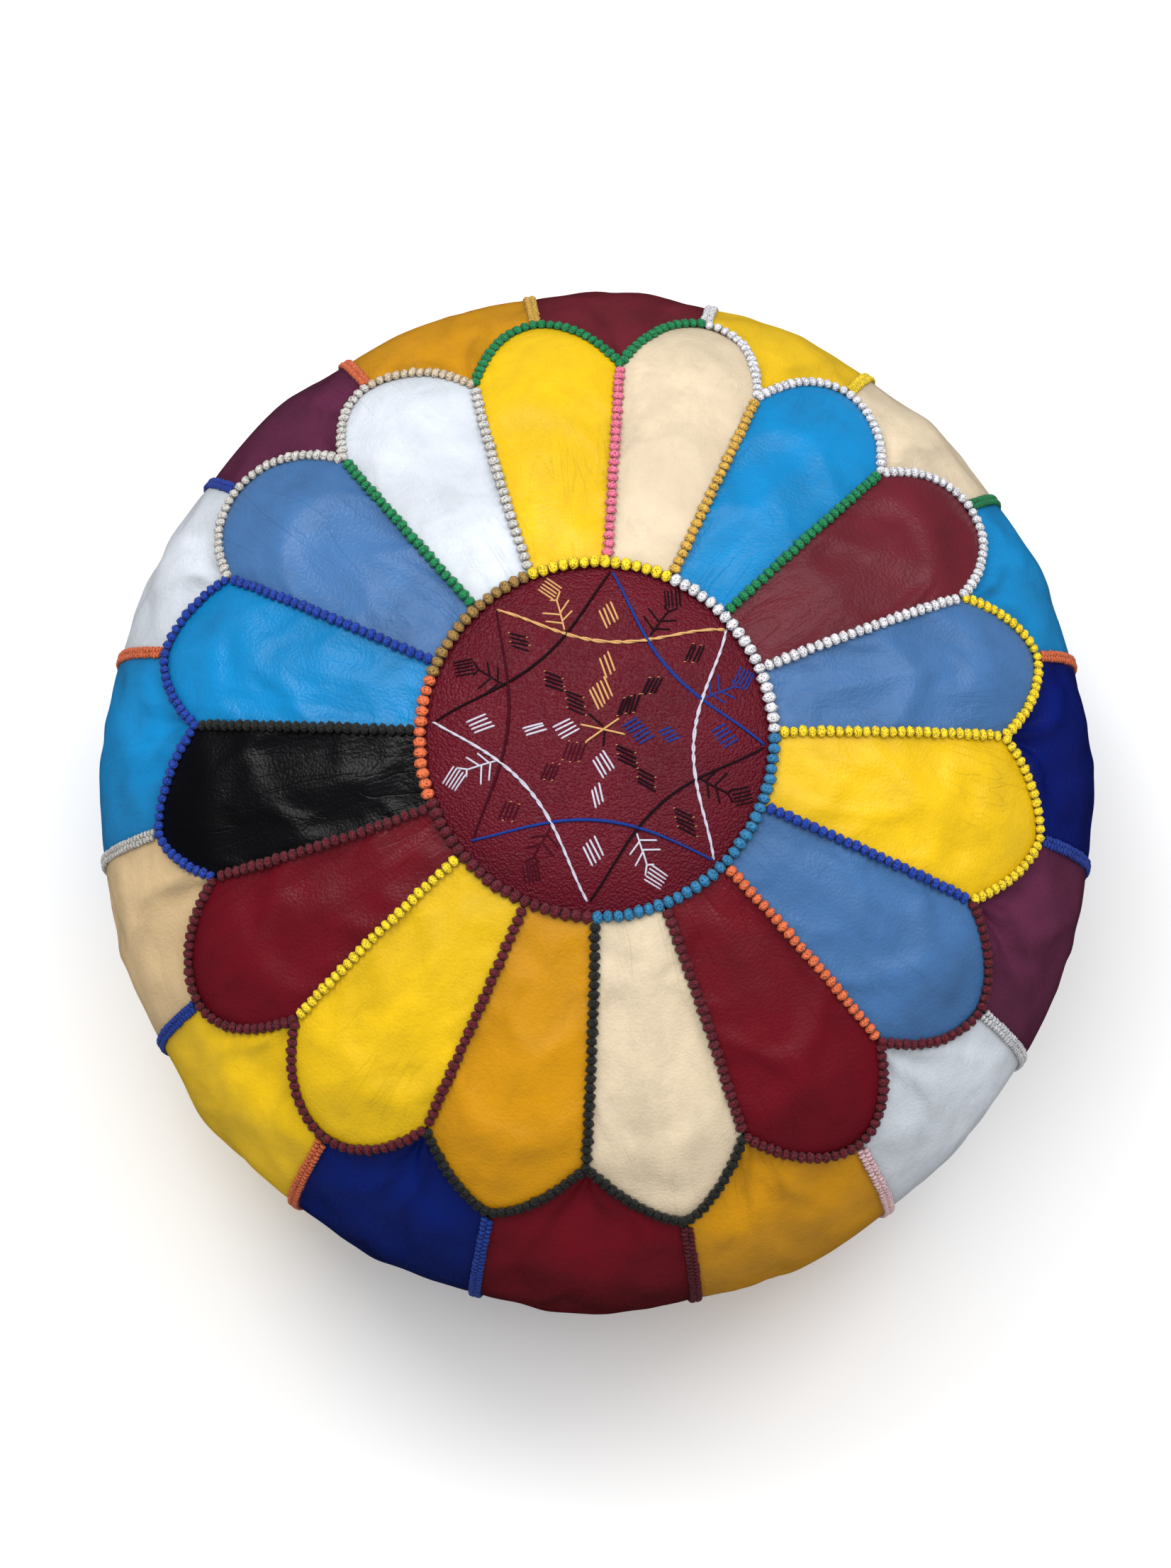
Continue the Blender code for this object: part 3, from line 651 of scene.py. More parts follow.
KNOT_PITCH = 0.0049
KNOT_SIZE = (0.0054, 0.0064, 0.0050)  # along the seam, across it, and high
KNOT_LIFT = 0.0030  # over the seam
KNOT_SHARES = (0.94, 1.07)  # the smallest and the largest against that size
KNOT_STRAY = 0.00025
ROWS_APART = 0.72  # two rows, in widths of a knot
ROW_DROP = 0.0008
THREAD_COLOURS = {
    "pink": (0.66, 0.14, 0.23),
    "pale_pink": (0.75, 0.50, 0.52),
    "gold": (0.55, 0.32, 0.045),
    "old_gold": (0.27, 0.155, 0.040),
    "green": (0.004, 0.185, 0.062),
    "white": (0.60, 0.60, 0.63),
    "yellow": (0.80, 0.55, 0.008),
    "royal_blue": (0.004, 0.036, 0.30),
    "teal": (0.018, 0.155, 0.32),
    "orange": (0.62, 0.125, 0.040),
    "burgundy": (0.10, 0.006, 0.014),
    "black": (0.012, 0.014, 0.012),
    "silver": (0.50, 0.48, 0.45),
    "beige": (0.52, 0.42, 0.30),
}


def knotted_thread(name, colour):
    """Shiny thread in round knots: loops painted lighter, with painted shade in the holes among
    them and between the knots.
    """
    made, tree, shader = blank(name)
    where = marked(tree, "knot", "Vector")
    cells = wire(tree, "TexVoronoi", {"Vector": where, "Scale": 2.5}, feature="F1")
    loops = cells.outputs["Distance"]
    strands = {"Vector": where, "Scale": 3.2, "Distortion": 5.0, "Detail": 1.0}
    strand = wire(tree, "TexWave", strands).outputs["Fac"]
    # Painted light on the loops and painted shade in the holes between them
    tones = mixed(tree, spread(tree, loops, 0.15, 0.42), shade(colour, 0.15), shade(colour, 1.30))
    # painted shade between the knots and on their undersides
    tones = mixed(tree, times(tree, marked(tree, "gap"), 0.85), tones, shade(colour, 0.10))
    normal = relief(tree, strand, 0.0003, 0.35, relief(tree, loops, 0.0009, 0.9))
    feed(tree, shader, {"Base Color": tones, "Normal": normal, "Roughness": 0.42})
    feed(tree, shader, {"Sheen Weight": 0.08, "Sheen Roughness": 0.4})
    return made


threads = {name: knotted_thread("thread_" + name, dye) for name, dye in THREAD_COLOURS.items()}

bpy.ops.mesh.primitive_ico_sphere_add(subdivisions=2, radius=1.0)
pattern = bpy.context.object
KNOT_POINTS = np.array([tuple(vertex.co) for vertex in pattern.data.vertices])
KNOT_FACES = np.array([tuple(face.vertices) for face in pattern.data.polygons])
bpy.data.objects.remove(pattern)
KNOT_POINTS[12:] *= 0.93  # the sphere's first corners stand out, the others lie back
KNOT_POINTS[:12] *= 1.06


def evenly(path, values, pitch):
    """Values along a path, read at evenly spaced points half a pitch in from its ends."""
    steps = np.linalg.norm(np.diff(path, axis=0), axis=1)
    along = np.concatenate([[0.0], np.cumsum(steps)])
    count = max(2, round(along[-1] / pitch))
    wanted = (np.arange(count) + 0.5) / count * along[-1]
    return np.stack([np.interp(wanted, along, values[:, axis]) for axis in range(3)], axis=1)


def braid(name, places, colour, nodes, size=1.0, columns=1):
    """Rows of knots over the seam that runs through these places."""
    bearing, reach = np.array(places).T
    lift = KNOT_LIFT - seam_dip(reach)
    path = on_cover(bearing, reach, lift)
    ups = on_cover(bearing, reach, lift + 0.01) - path
    pitch = KNOT_PITCH * size
    centres, up = evenly(path, path, pitch), unit(evenly(path, ups, pitch))
    ahead = np.gradient(centres, axis=0)
    along = unit(ahead - up * (ahead * up).sum(axis=1, keepdims=True))
    aside = np.cross(up, along)
    points, local, knot_shades = [], [], []
    for column in range(columns):
        off = column - (columns - 1) / 2
        row = centres + off * aside * KNOT_SIZE[1] * size * ROWS_APART
        row = row + (column % 2) * along * pitch / 2 - abs(off) * up * ROW_DROP
        for centre, a, b, c in zip(row, along, aside, up):
            roll = hand.uniform(0.0, 6.28)
            cos, sin = math.cos(roll), math.sin(roll)
            turned = KNOT_POINTS @ np.array([[1, 0, 0], [0, cos, -sin], [0, sin, cos]]).T
            scaled = turned * hand.uniform(*KNOT_SHARES) * np.array(KNOT_SIZE) / 2 * size
            centre = centre + b * hand.uniform(-KNOT_STRAY, KNOT_STRAY)
            points.append(centre + scaled @ np.array([a, b, c]))
            local.append(KNOT_POINTS + hand.uniform(0.0, 40.0))
            # Painted shade: darker towards each knot's ends, where it meets the next, and towards
            # its underside
            gap = np.abs(turned[:, 0]) ** 3 + 0.5 * (0.35 - turned[:, 2])
            knot_shades.append(np.clip(gap, 0.0, 1.0))
    first = len(KNOT_POINTS) * np.arange(len(points))[:, None, None]
    faces = (KNOT_FACES[None] + first).reshape(-1, 3)
    piece = show(name, points, faces.tolist(), threads[colour])
    mark(piece, "knot", local)
    mark(piece, "gap", knot_shades)
    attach(piece, "pouf")
    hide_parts(*nodes)


# Round the medallion: six lengths, from one seam's bearing to another's
for colour, start, end in (
    ("yellow", 337.0, 385.0),
    ("white", 25.0, 88.5),
    ("teal", 88.5, 181.5),
    ("burgundy", 181.5, 250.0),
    ("orange", 250.0, 290.5),
    ("old_gold", 290.5, 337.0),
):
    places = [(bearing, RING_REACH) for bearing in np.linspace(start, end, 40)]
    braid("ring_braid_" + colour, places, colour, ["ring_braid"], size=1.12)

# Between the petals: from the ring out to the notch
for number in range(PETALS):
    node = f"seam_braid_{number + 1:02d}"
    corner, corner_reach = NOTCH[number]
    span = degrees_between(SEAM_RING[number], corner)
    share = np.linspace(0.0, 1.0, 30)
    reach = RING_REACH + 0.0030 + (corner_reach - RING_REACH - 0.0055) * share
    along = (reach - RING_REACH) / (corner_reach - RING_REACH)
    places = np.stack([SEAM_RING[number] + span * along, reach], axis=1)
    braid(node + "_knots", places, slots[node].replace("thread_", ""), [node])

# Round the petals' ends: nine lengths, each from a notch or a tip to another
for name, colour, first, first_across, last, last_across in (
    ("green", "green", 15, -1, 0, 0),
    ("white", "white", 0, 0, 2, 1),
    ("yellow", "yellow", 3, -1, 4, 1),
    ("burgundy_right", "burgundy", 5, -1, 6, 1),
    ("black", "black", 7, -1, 8, 1),
    ("burgundy_left", "burgundy", 9, -1, 10, 1),
    ("blue", "royal_blue", 11, -1, 12, 1),
    ("silver", "silver", 13, -1, 14, 0),
    ("beige", "beige", 14, 0, 14, 1),
):
    places = []
    for number in range(first, last + 1 if last >= first else last + 1 + PETALS):
        begin = first_across if number == first else -1
        finish_at = last_across if number % PETALS == last else 1
        steps = np.linspace(begin, finish_at, 12 * (finish_at - begin) + 1)
        places += [petal_end(number % PETALS, across) for across in steps]
    bearings = np.degrees(np.unwrap(np.radians([place[0] for place in places])))
    places = np.stack([bearings, [place[1] for place in places]], axis=1)
    braid("end_braid_" + name, places, colour, ["outer_braid"])

# Down the sides: from each petal's tip towards the foot
SIDE_THREADS = (
    "white", "yellow", "green", "orange", "royal_blue", "white", "pale_pink", "burgundy",
    "royal_blue", "orange", "royal_blue", "silver", "orange", "royal_blue", "orange", "gold",
)  # fmt: skip
for number, colour in enumerate(SIDE_THREADS):
    tip, tip_reach = TIP[number]
    reaches = np.linspace(tip_reach + 0.003, FOOT_REACH - 0.010, 40)
    places = [(tip, reach) for reach in reaches]
    braid(f"side_braid_{number + 1:02d}", places, colour, ["outer_braid"], size=0.64, columns=2)

# The medallion: a round of burgundy leather, embroidered by hand in thread
# with an eight-pointed star, sprigs and small hatched diamonds.

MEDALLION_COLOUR = (0.105, 0.0035, 0.012)
MEDALLION_CROWN = 0.0020
MEDALLION_RUN = 0.018
MEDALLION_ROUND = 96
MEDALLION_RINGS = 34
medallion_edge = RING_REACH - 0.0004


def medallion_lift(reach):
    """How far the medallion stands off the cover's plain form at this reach."""
    away = np.clip(medallion_edge - np.asarray(reach), 0.0, None)
    return -TOP_DIP + (TOP_DIP + MEDALLION_CROWN) * (1 - np.exp(-((away / MEDALLION_RUN) ** 1.5)))


def wobble(bearing, reach):
    """Small unevenness of the medallion's face."""
    turn = math.radians(bearing)
    place = Vector((math.sin(turn) * reach, math.cos(turn) * reach, 0.3))
    return 0.0006 * noise.noise(place * 30)


rounds = np.linspace(0.0, 360.0, MEDALLION_ROUND, endpoint=False)
rings = medallion_edge * np.linspace(0.02, 1.0, MEDALLION_RINGS) ** 0.9
bearing, reach = np.meshgrid(rounds, rings)
rough = np.array([[wobble(b, r) for b in rounds] for r in rings])
rows = on_cover(bearing, reach, medallion_lift(reach) + rough)
middle = on_cover(0.0, 0.0, medallion_lift(0.0))
points = np.concatenate([rows.reshape(-1, 3), middle[None]])
index = np.arange(reach.size).reshape(reach.shape)
index = np.concatenate([index, index[:, :1]], axis=1)
faces = quads_of(index).tolist()
faces += [(a, b, reach.size) for a, b in zip(index[0, :-1], index[0, 1:])]
medallion_dye = dyed_leather(
    "leather_medallion", MEDALLION_COLOUR, grain=3.6, mottle=0.14, pebble=760.0, wrinkles=0.3
)
medallion = show("medallion_leather", points, faces, medallion_dye)
# Painted shade at the medallion's edge, by the ring braid
mark(medallion, "seam_near", np.exp(-(medallion_edge - np.append(reach, 0.0)) / SEAM_SHADE_RUN))
mark(medallion, "laid", points)
if medallion.data.polygons[0].normal.z < 0:
    medallion.data.flip_normals()
walled(medallion, LEATHER)
settle(medallion)
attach(medallion, "pouf")
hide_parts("medallion")

STITCH_RADIUS = 0.00055
SILKS = {
    "peach": (0.78, 0.44, 0.17),
    "dark": (0.014, 0.004, 0.008),
    "blue": (0.010, 0.046, 0.31),
    "white": (0.70, 0.68, 0.80),
    "wine": (0.070, 0.002, 0.012),
}
stitches = {name: [] for name in SILKS}


def silk(name, colour):
    """Embroidery thread: a few soft strands twisted together, with painted light and painted shade
    in bands along the twist.
    """
    made, tree, shader = blank(name)
    strands = {"Vector": marked(tree, "strand", "Vector"), "Scale": 1.0, "Distortion": 0.6}
    twist = wire(tree, "TexWave", strands, bands_direction="DIAGONAL").outputs["Fac"]
    # Painted light on the strands and painted shade between them
    tones = mixed(tree, twist, shade(colour, 0.60), shade(colour, 1.15))
    feed(tree, shader, {"Base Color": tones, "Normal": relief(tree, twist, 0.0003, 0.6)})
    feed(tree, shader, {"Roughness": 0.5, "Specular IOR Level": 0.25})
    return made


def on_medallion(x, y, lift=0.0):
    """A point over the medallion; x runs right and y back from its middle."""
    x, y = 1.011 * x + 0.0012, 1.011 * y - 0.0007
    reach = math.hypot(x, y)
    bearing = math.degrees(math.atan2(x, y))
    return Vector(on_cover(bearing, reach, float(medallion_lift(reach)) + lift))


def stitch(colour, start, end, thick=1.0, proud=0.0):
    """One straight stitch: it comes up through the leather, lies on it, and goes down."""
    row = []
    for share in (0.0, 0.04, 0.16, 0.5, 0.84, 0.96, 1.0):
        x = start[0] + (end[0] - start[0]) * share
        y = start[1] + (end[1] - start[1]) * share
        rise = min(1.0, 14 * share * (1 - share) + 0.02) * 1.25 - 1.0
        row.append(on_medallion(x / 1000, y / 1000, STITCH_RADIUS * thick * rise + proud))
    stitches[colour].append((row, STITCH_RADIUS * thick))


def shaky(x, y, amount=0.35):
    """A place where a hand would put it."""
    return (x + hand.uniform(-amount, amount), y + hand.uniform(-amount, amount))


def hatch(colour, x, y, along, apart, lines):
    """A diamond of parallel stitches, about its middle; dark ones show pale ends."""
    for line in range(lines):
        step = line - (lines - 1) / 2
        across, up = x + apart[0] * step, y + apart[1] * step
        start = shaky(across - along[0] / 2, up - along[1] / 2)
        end = shaky(across + along[0] / 2, up + along[1] / 2)
        stitch(colour, start, end, thick=1.05)
        if colour in ("dark", "wine") and line % 2 == 0:
            for a, b in (start, end):
                stitch("peach", (a - 0.4, b), (a + 0.4, b + 0.2), thick=0.45, proud=0.0004)


def sprig(colour, x, y, bearing):
    """A stem with two branches each side, and a hatched diamond at its top."""
    cos, sin = math.cos(math.radians(bearing)), math.sin(math.radians(bearing))

    def place(aside, out):
        return shaky(x + out * sin + aside * cos, y + out * cos - aside * sin, 0.25)

    for start, end in (
        ((0, 0), (0, 9)), ((0, 8.5), (0, 17)), ((0, 4.5), (6.5, 9)), ((0, 9.5), (6, 15)),
        ((0, 3.5), (-8.5, 6.5)), ((0, 8.5), (-9, 11.5)), ((0, 16.5), (2.5, 21)),
        ((0, 16.5), (-3.5, 17.5)),
    ):  # fmt: skip
        stitch(colour, place(*start), place(*end), thick=0.95)
    for step in range(5):
        aside, out = 3.6 - 1.4 * step, 22.5 - 1.3 * step
        stitch(colour, place(aside, out), place(aside - 6.5, out + 8.0), thick=0.9)


def rope(colour, corners, strands, twist, thick):
    """A line of twisted strands laid over the leather through these places, in mm."""
    corners = np.array(corners, float)
    steps = np.linalg.norm(np.diff(corners, axis=0), axis=1)
    knots = np.concatenate([[0.0], np.cumsum(steps)])
    wanted = np.arange(0.0, knots[-1], 0.8)
    bend = np.polynomial.polynomial.Polynomial
    order = min(4, len(corners) - 1)
    x = bend.fit(knots, corners[:, 0], order)(wanted)
    y = bend.fit(knots, corners[:, 1], order)(wanted)
    radius = STITCH_RADIUS * thick
    ends = np.clip(np.minimum(wanted, wanted[-1] - wanted) / 1.2, 0.0, 1.0)
    for strand in range(strands):
        row = []
        for px, py, along, end in zip(x, y, wanted, ends):
            turn = 2 * math.pi * (strand / strands + along / twist) + 0.5 * math.sin(along * 0.37)
            ahead = math.atan2(py, px)
            aside = radius * 0.95 * math.cos(turn)
            lift = radius * (0.9 + 0.75 * math.sin(turn)) * end - radius * (1 - end)
            px, py = px / 1000 + aside * math.cos(ahead), py / 1000 + aside * math.sin(ahead)
            row.append(on_medallion(px, py, lift))
        stitches[colour].append((row, radius))


# The star: eight bowed lines between points, in mm from the middle
for colour, strands, twist, thick, *corners in (
    ("dark", 3, 5.0, 0.85,
     (6, 87), (-6, 69), (-17, 52), (-31, 38), (-48, 28), (-66, 18), (-85, 9)),
    ("blue", 3, 5.5, 0.95,
     (7, 87), (15, 70), (24, 51), (37, 33), (52, 20), (68, 9), (86, -3)),
    ("dark", 3, 5.0, 0.80,
     (85, -4), (68, -13), (50, -21), (38, -29), (27, -38), (12, -57), (-5, -83)),
    ("wine", 3, 4.5, 0.80,
     (-53, 67), (-50, 47), (-47, 31), (-46, 7), (-51, -13), (-57, -33), (-65, -52)),
    ("blue", 3, 4.5, 0.95,
     (-66, -52), (-52, -49), (-38, -46), (-7, -42), (19, -46), (39, -53), (59, -62)),
    ("peach", 2, 16.0, 1.00,
     (-53, 67), (-36, 60), (-17, 53), (6, 48), (25, 50), (45, 54), (66, 57)),
    ("white", 2, 13.0, 1.00,
     (66, 57), (60, 38), (53, 20), (48, 0), (49, -17), (54, -42), (59, -62)),
    ("white", 2, 13.0, 0.95,
     (-86, 9), (-70, 0), (-53, -12), (-36, -26), (-25, -43), (-16, -62), (-6, -83)),
):  # fmt: skip
    rope(colour, corners, strands, twist, thick)

for colour, x, y, bearing in (
    ("peach", -18, 55, -13), ("dark", 26, 52, 36), ("blue", 54, 20, 67), ("dark", 51, -21, 116),
    ("white", 19, -49, 161), ("wine", -25, -46, 210), ("white", -52, -12, 255),
    ("dark", -48, 26, 302),
):  # fmt: skip
    sprig(colour, x, y, bearing)

# The diamonds: where each lies, its stitches, the step between them and how many
for colour, x, y, along, apart, lines in (
    ("peach", 5, 63, (4, -9.5), (2.0, 1.6), 4),
    ("dark", 49, 43, (4.5, 9.5), (2.1, -0.4), 4),
    ("blue", 64, 1, (7.5, 4.5), (1.7, -1.9), 5),
    ("dark", 44, -43, (10, -5), (0.4, -2.3), 5),
    ("white", -3, -58, (5, -9.5), (-1.8, -1.7), 4),
    ("wine", -46, -38, (-4, -9), (-2.3, 0.4), 4),
    ("white", -61, 7, (10, 4), (1.5, -2.0), 4),
    ("dark", -41, 49, (9.5, -2.8), (0.4, -2.3), 4),
    ("peach", 4, 37, (3.5, -10), (2.1, 1.9), 3),
    ("peach", 1, 22, (4.5, -10), (1.8, 1.7), 5),
    ("dark", 27, 26, (4.5, 8.5), (2.0, 0.2), 4),
    ("dark", 15, 16, (3.5, 9.5), (2.0, 0.5), 5),
    ("blue", 36, 1, (7, 3), (1.5, -1.7), 4),
    ("blue", 20, 3, (7.5, 4.5), (1.7, -1.8), 6),
    ("dark", 24, -22, (9, -5), (0.1, -2.3), 4),
    ("dark", 14, -10, (9.5, -4.5), (0.2, -2.3), 4),
    ("white", -1, -30, (2.5, -9.5), (-1.7, -1.8), 3),
    ("white", 2, -14, (5.5, -9), (-1.8, -1.6), 4),
    ("wine", -25, -18, (-4, -8.5), (-2.0, 0.3), 4),
    ("wine", -13, -8, (-3.5, -9.5), (-2.1, 0.2), 5),
    ("white", -33, 4, (10, 2.8), (1.0, -1.7), 3),
    ("white", -17, 4, (9.5, 5), (1.6, -1.8), 4),
    ("dark", -23, 28, (9.5, -3.5), (0.3, -2.2), 4),
    ("dark", -12, 17, (9.5, -4), (0.2, -2.2), 5),
):
    hatch(colour, x, y, along, apart, lines)

# The middle: a crossed pair over a dark one
stitch("dark", (-6, 12), (2, 5))
stitch("dark", (3, 4), (2, -5))
stitch("peach", (-9.5, 6), (13, 1), proud=0.0003)
stitch("peach", (-7, -3), (10, 9), proud=0.0006)

SIDES = 6  # of a thread
CORNERS = [math.radians(360 / SIDES * corner) for corner in range(SIDES)]
for colour, rows in stitches.items():
    points, faces, local = [], [], []
    for path, radius in rows:
        path = np.array(path)
        ahead = unit(np.gradient(path, axis=0))
        aside = unit(np.cross(np.array([0.0, 0.0, 1.0]), ahead))
        up = np.cross(ahead, aside)
        base = len(points)
        length = 0.0
        for row in range(len(path)):
            length += np.linalg.norm(path[row] - path[row - 1]) if row else 0.0
            for corner, angle in enumerate(CORNERS):
                out = aside[row] * math.cos(angle) + up[row] * math.sin(angle)
                points.append(path[row] + radius * out)
                local.append((length * 900, corner / SIDES * 3.0 + base, 0.0))
        for low in range(base, base + SIDES * (len(path) - 1), SIDES):
            for c in range(SIDES):
                after = (c + 1) % SIDES
                faces.append((low + c, low + after, low + SIDES + after, low + SIDES + c))
        last = len(points) - SIDES
        faces += [tuple(range(base + SIDES - 1, base - 1, -1)), tuple(range(last, last + SIDES))]
    thread = silk("silk_" + colour, SILKS[colour])
    piece = show("embroidery_" + colour, points, faces, thread)
    mark(piece, "strand", local)
    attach(piece, "pouf")

# The base: two halves of plain undyed leather, gathered into the seam with the
# side panels, and raised in the middle so that the zip stays off the floor.

BASE_RADIUS = foot_radius - FOOT_GAP
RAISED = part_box("base_back")[1][2] - LEATHER
SLOPE = (0.114, 0.129)  # radii where the raised middle ends and the foot begins
SLOT_HALF = (0.118, 0.0063)
SEAM_HALF = 0.0005
GATHER = 0.0010
GATHERS = 96
GATHER_RUN = 0.010

turns = np.radians(np.linspace(-89.6, 89.6, 161))
rim_x = BASE_RADIUS * np.sin(turns)
rim_y = LENGTHEN * BASE_RADIUS * np.cos(turns)
middle_y = np.where(np.abs(rim_x) < SLOT_HALF[0], SLOT_HALF[1], SEAM_HALF)
share = np.linspace(0.0, 1.0, 31)[:, None]
base_x = rim_x + 0 * share
base_y = middle_y + (np.maximum(rim_y, middle_y + 0.0006) - middle_y) * share
radius = np.hypot(base_x, base_y / LENGTHEN)
raised = np.clip((SLOPE[1] - radius) / (SLOPE[1] - SLOPE[0]), 0.0, 1.0)
base_z = RAISED * raised**2 * (3 - 2 * raised)
gathers = 0.5 + 0.5 * np.cos(GATHERS * np.arctan2(base_x, base_y))
base_z += GATHER * gathers * np.exp(-(BASE_RADIUS - radius) / GATHER_RUN)
for node, side in (("base_back", 1), ("base_front", -1)):
    grid = np.stack([base_x, side * base_y, base_z], axis=-1)[:, ::side]
    piece = leather_piece(node + "_leather", grid, "natural")
    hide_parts(node)

# The zip: woven tapes sewn inside the base, cast brass teeth that mesh, and an
# end stop. It stays shut; the slider runs over it.

TAPE = 0.0006
TOOTH_PITCH = 0.0025
TOOTH = (0.0011, 0.0036, 0.0020)
TOOTH_REACH = 0.0014  # centre of a tooth from the middle of the zip
TEETH_START = 0.0035
END_STOP = (0.0032, 0.0056, 0.0028)
WEAVE_SCALE = 1400.0 / 6.28


def woven(name, colour):
    """Plain woven cloth, seen thread by thread, with painted shade between the threads."""
    made, tree, shader = blank(name)
    where = wire(tree, "TexCoord").outputs["Object"]
    look = {"Vector": where, "Scale": WEAVE_SCALE, "Distortion": 0.4}
    warp = wire(tree, "TexWave", look, bands_direction="X").outputs["Fac"]
    weft = wire(tree, "TexWave", look, bands_direction="Y").outputs["Fac"]
    weave = times(tree, warp, weft)
    cloud = clouds(tree, where, 30.0, 4.0)
    # Painted shade between the threads, times soft uneven tone
    weave_shade_and_wear = wire(tree, "Math", {0: weave, 1: cloud, 2: 0.25}, operation="MULTIPLY_ADD")
    tones = mixed(tree, weave_shade_and_wear.outputs["Value"], shade(colour, 0.65), shade(colour, 1.2))
    feed(tree, shader, {"Base Color": tones, "Normal": relief(tree, weave, 0.0002, 0.5)})
    feed(tree, shader, {"Roughness": 0.85, "Sheen Weight": 0.15})
    return made


def worn_brass(name, pale, deep):
    """Cast brass, polished where it is handled and dull elsewhere."""
    made, tree, shader = blank(name)
    where = wire(tree, "TexCoord").outputs["Object"]
    cloud = clouds(tree, where, 220.0, 5.0)
    scratches = relief(tree, clouds(tree, where, 1800.0, 3.0), 0.0002, 0.15)
    feed(tree, shader, {"Base Color": mixed(tree, cloud, deep, pale), "Normal": scratches})
    feed(tree, shader, {"Roughness": spread(tree, cloud, 0.0, 1.0, 0.48, 0.22), "Metallic": 1.0})
    return made


tape_cloth = woven("zip_tape_cloth", (0.10, 0.06, 0.04))
brass = worn_brass("brass", (0.70, 0.48, 0.20, 1), (0.42, 0.25, 0.08, 1))


def placed():
    """Puts the newest primitive's size and place into its mesh."""
    bpy.ops.object.transform_apply(location=True, rotation=True, scale=True)


def block(name, low, high, rounding, segments=2):
    """A brass box between two corners, its edges rounded."""
    low, high = Vector(low), Vector(high)
    bpy.ops.object.select_all(action="DESELECT")
    bpy.ops.mesh.primitive_cube_add(size=1.0, location=(low + high) / 2)
    piece = bpy.context.object
    piece.name = name
    piece.scale = high - low
    placed()
    bpy.ops.object.mode_set(mode="EDIT")
    bpy.ops.mesh.select_all(action="SELECT")
    bpy.ops.mesh.bevel(offset=rounding, segments=segments)
    bpy.ops.object.mode_set(mode="OBJECT")
    piece.data.materials.append(brass)
    bpy.ops.object.shade_smooth_by_angle(angle=math.radians(35))
    return piece


def joined(name, pieces):
    """Several pieces made one."""
    pick(pieces[0])
    for piece in pieces:
        piece.select_set(True)
    bpy.ops.object.join()
    pieces[0].name = name
    return pieces[0]


def corners_of(node):
    """The low and the high corner of a frame node."""
    return [Vector(corner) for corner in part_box(node)]


for node in ("zip_tape_back", "zip_tape_front"):
    low, high = corners_of(node)
    bpy.ops.object.select_all(action="DESELECT")
    bpy.ops.mesh.primitive_grid_add(
        x_subdivisions=150, y_subdivisions=8, size=1.0, location=(low + high) / 2
    )
    tape = bpy.context.object
    tape.name = node + "_cloth"
    tape.scale = (high.x - low.x, high.y - low.y, 1.0)
    placed()
    for vertex in tape.data.vertices:
        vertex.co.z += 0.00015 * noise.noise(vertex.co * 80)
    tape.data.materials.append(tape_cloth)
    walled(tape, TAPE, offset=0.0)
    settle(tape)
    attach(tape, "pouf")
    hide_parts(node)

low, high = corners_of("zip_teeth")
middle = (low.z + high.z) / 2
stop_low = (low.x, -END_STOP[1] / 2, middle - END_STOP[2] / 2)
stop_high = (low.x + END_STOP[0], END_STOP[1] / 2, middle + END_STOP[2] / 2)
rows = []
for side in (1, -1):
    start = low.x + TEETH_START + (TOOTH_PITCH / 2 if side < 0 else 0.0)
    near, far = side * TOOTH_REACH - TOOTH[1] / 2, side * TOOTH_REACH + TOOTH[1] / 2
    tooth_high = (start + TOOTH[0], far, middle + TOOTH[2] / 2)
    tooth = block("zip_row", (start, near, middle - TOOTH[2] / 2), tooth_high, 0.0003)
    line = tooth.modifiers.new("line", "ARRAY")
    line.use_relative_offset = False
    line.use_constant_offset = True
    line.constant_offset_displace = (TOOTH_PITCH, 0.0, 0.0)
    line.count = int((high.x - start) / TOOTH_PITCH)
    settle(tooth)
    rows.append(tooth)
rows.append(block("zip_end_stop", stop_low, stop_high, 0.0004))
zip_teeth = joined("zip_teeth_brass", rows)
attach(zip_teeth, "pouf")
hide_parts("zip_teeth")

# The slider and its pull tab: cast brass. The slider is two plates on a post
# with a bail below, and the tab hangs in the bail by its end bar.

PLATE = 0.0013
FLANGE = (0.0009, 0.0021)  # how thick and how high
FLANGE_INSET = 0.0004
POST = (0.0045, 0.0005, 0.0006)  # from the high end: where it starts and ends; half its width
BAIL_HEIGHT = 0.0038
BAIL_WIRE = 0.0006
BAIL_SINK = 0.0004  # into the lower plate
BAIL_HALF = 0.0029

low, high = corners_of("zip_slider")
lower = low.z + BAIL_HEIGHT
centre = (low.x + high.x) / 2
post_low = (high.x - POST[0], -POST[2], lower + PLATE / 2)
post_high = (high.x - POST[1], POST[2], high.z - PLATE / 2)
plates = [
    block("slider_lower", (low.x, low.y, lower), (high.x, high.y, lower + PLATE), 0.0005, 3),
    block("slider_upper", (low.x, low.y, high.z - PLATE), high, 0.0005, 3),
    block("slider_post", post_low, post_high, 0.0002),
]
for side in (1, -1):
    near, far = sorted((side * (high.y - FLANGE[0]), side * high.y))
    for start in (lower, high.z - FLANGE[1]):
        corner = (low.x + FLANGE_INSET, near, start)
        across = (high.x - FLANGE_INSET, far, start + FLANGE[1])
        plates.append(block("slider_flange", corner, across, 0.0003))
arch = bpy.data.curves.new("slider_bail", "CURVE")
arch.dimensions = "3D"
arch.bevel_depth = BAIL_WIRE
arch.bevel_resolution = 3
arch.use_fill_caps = True
path = arch.splines.new("POLY")
arch_turns = [math.radians(turn) for turn in range(0, 181, 12)]
path.points.add(len(arch_turns) - 1)
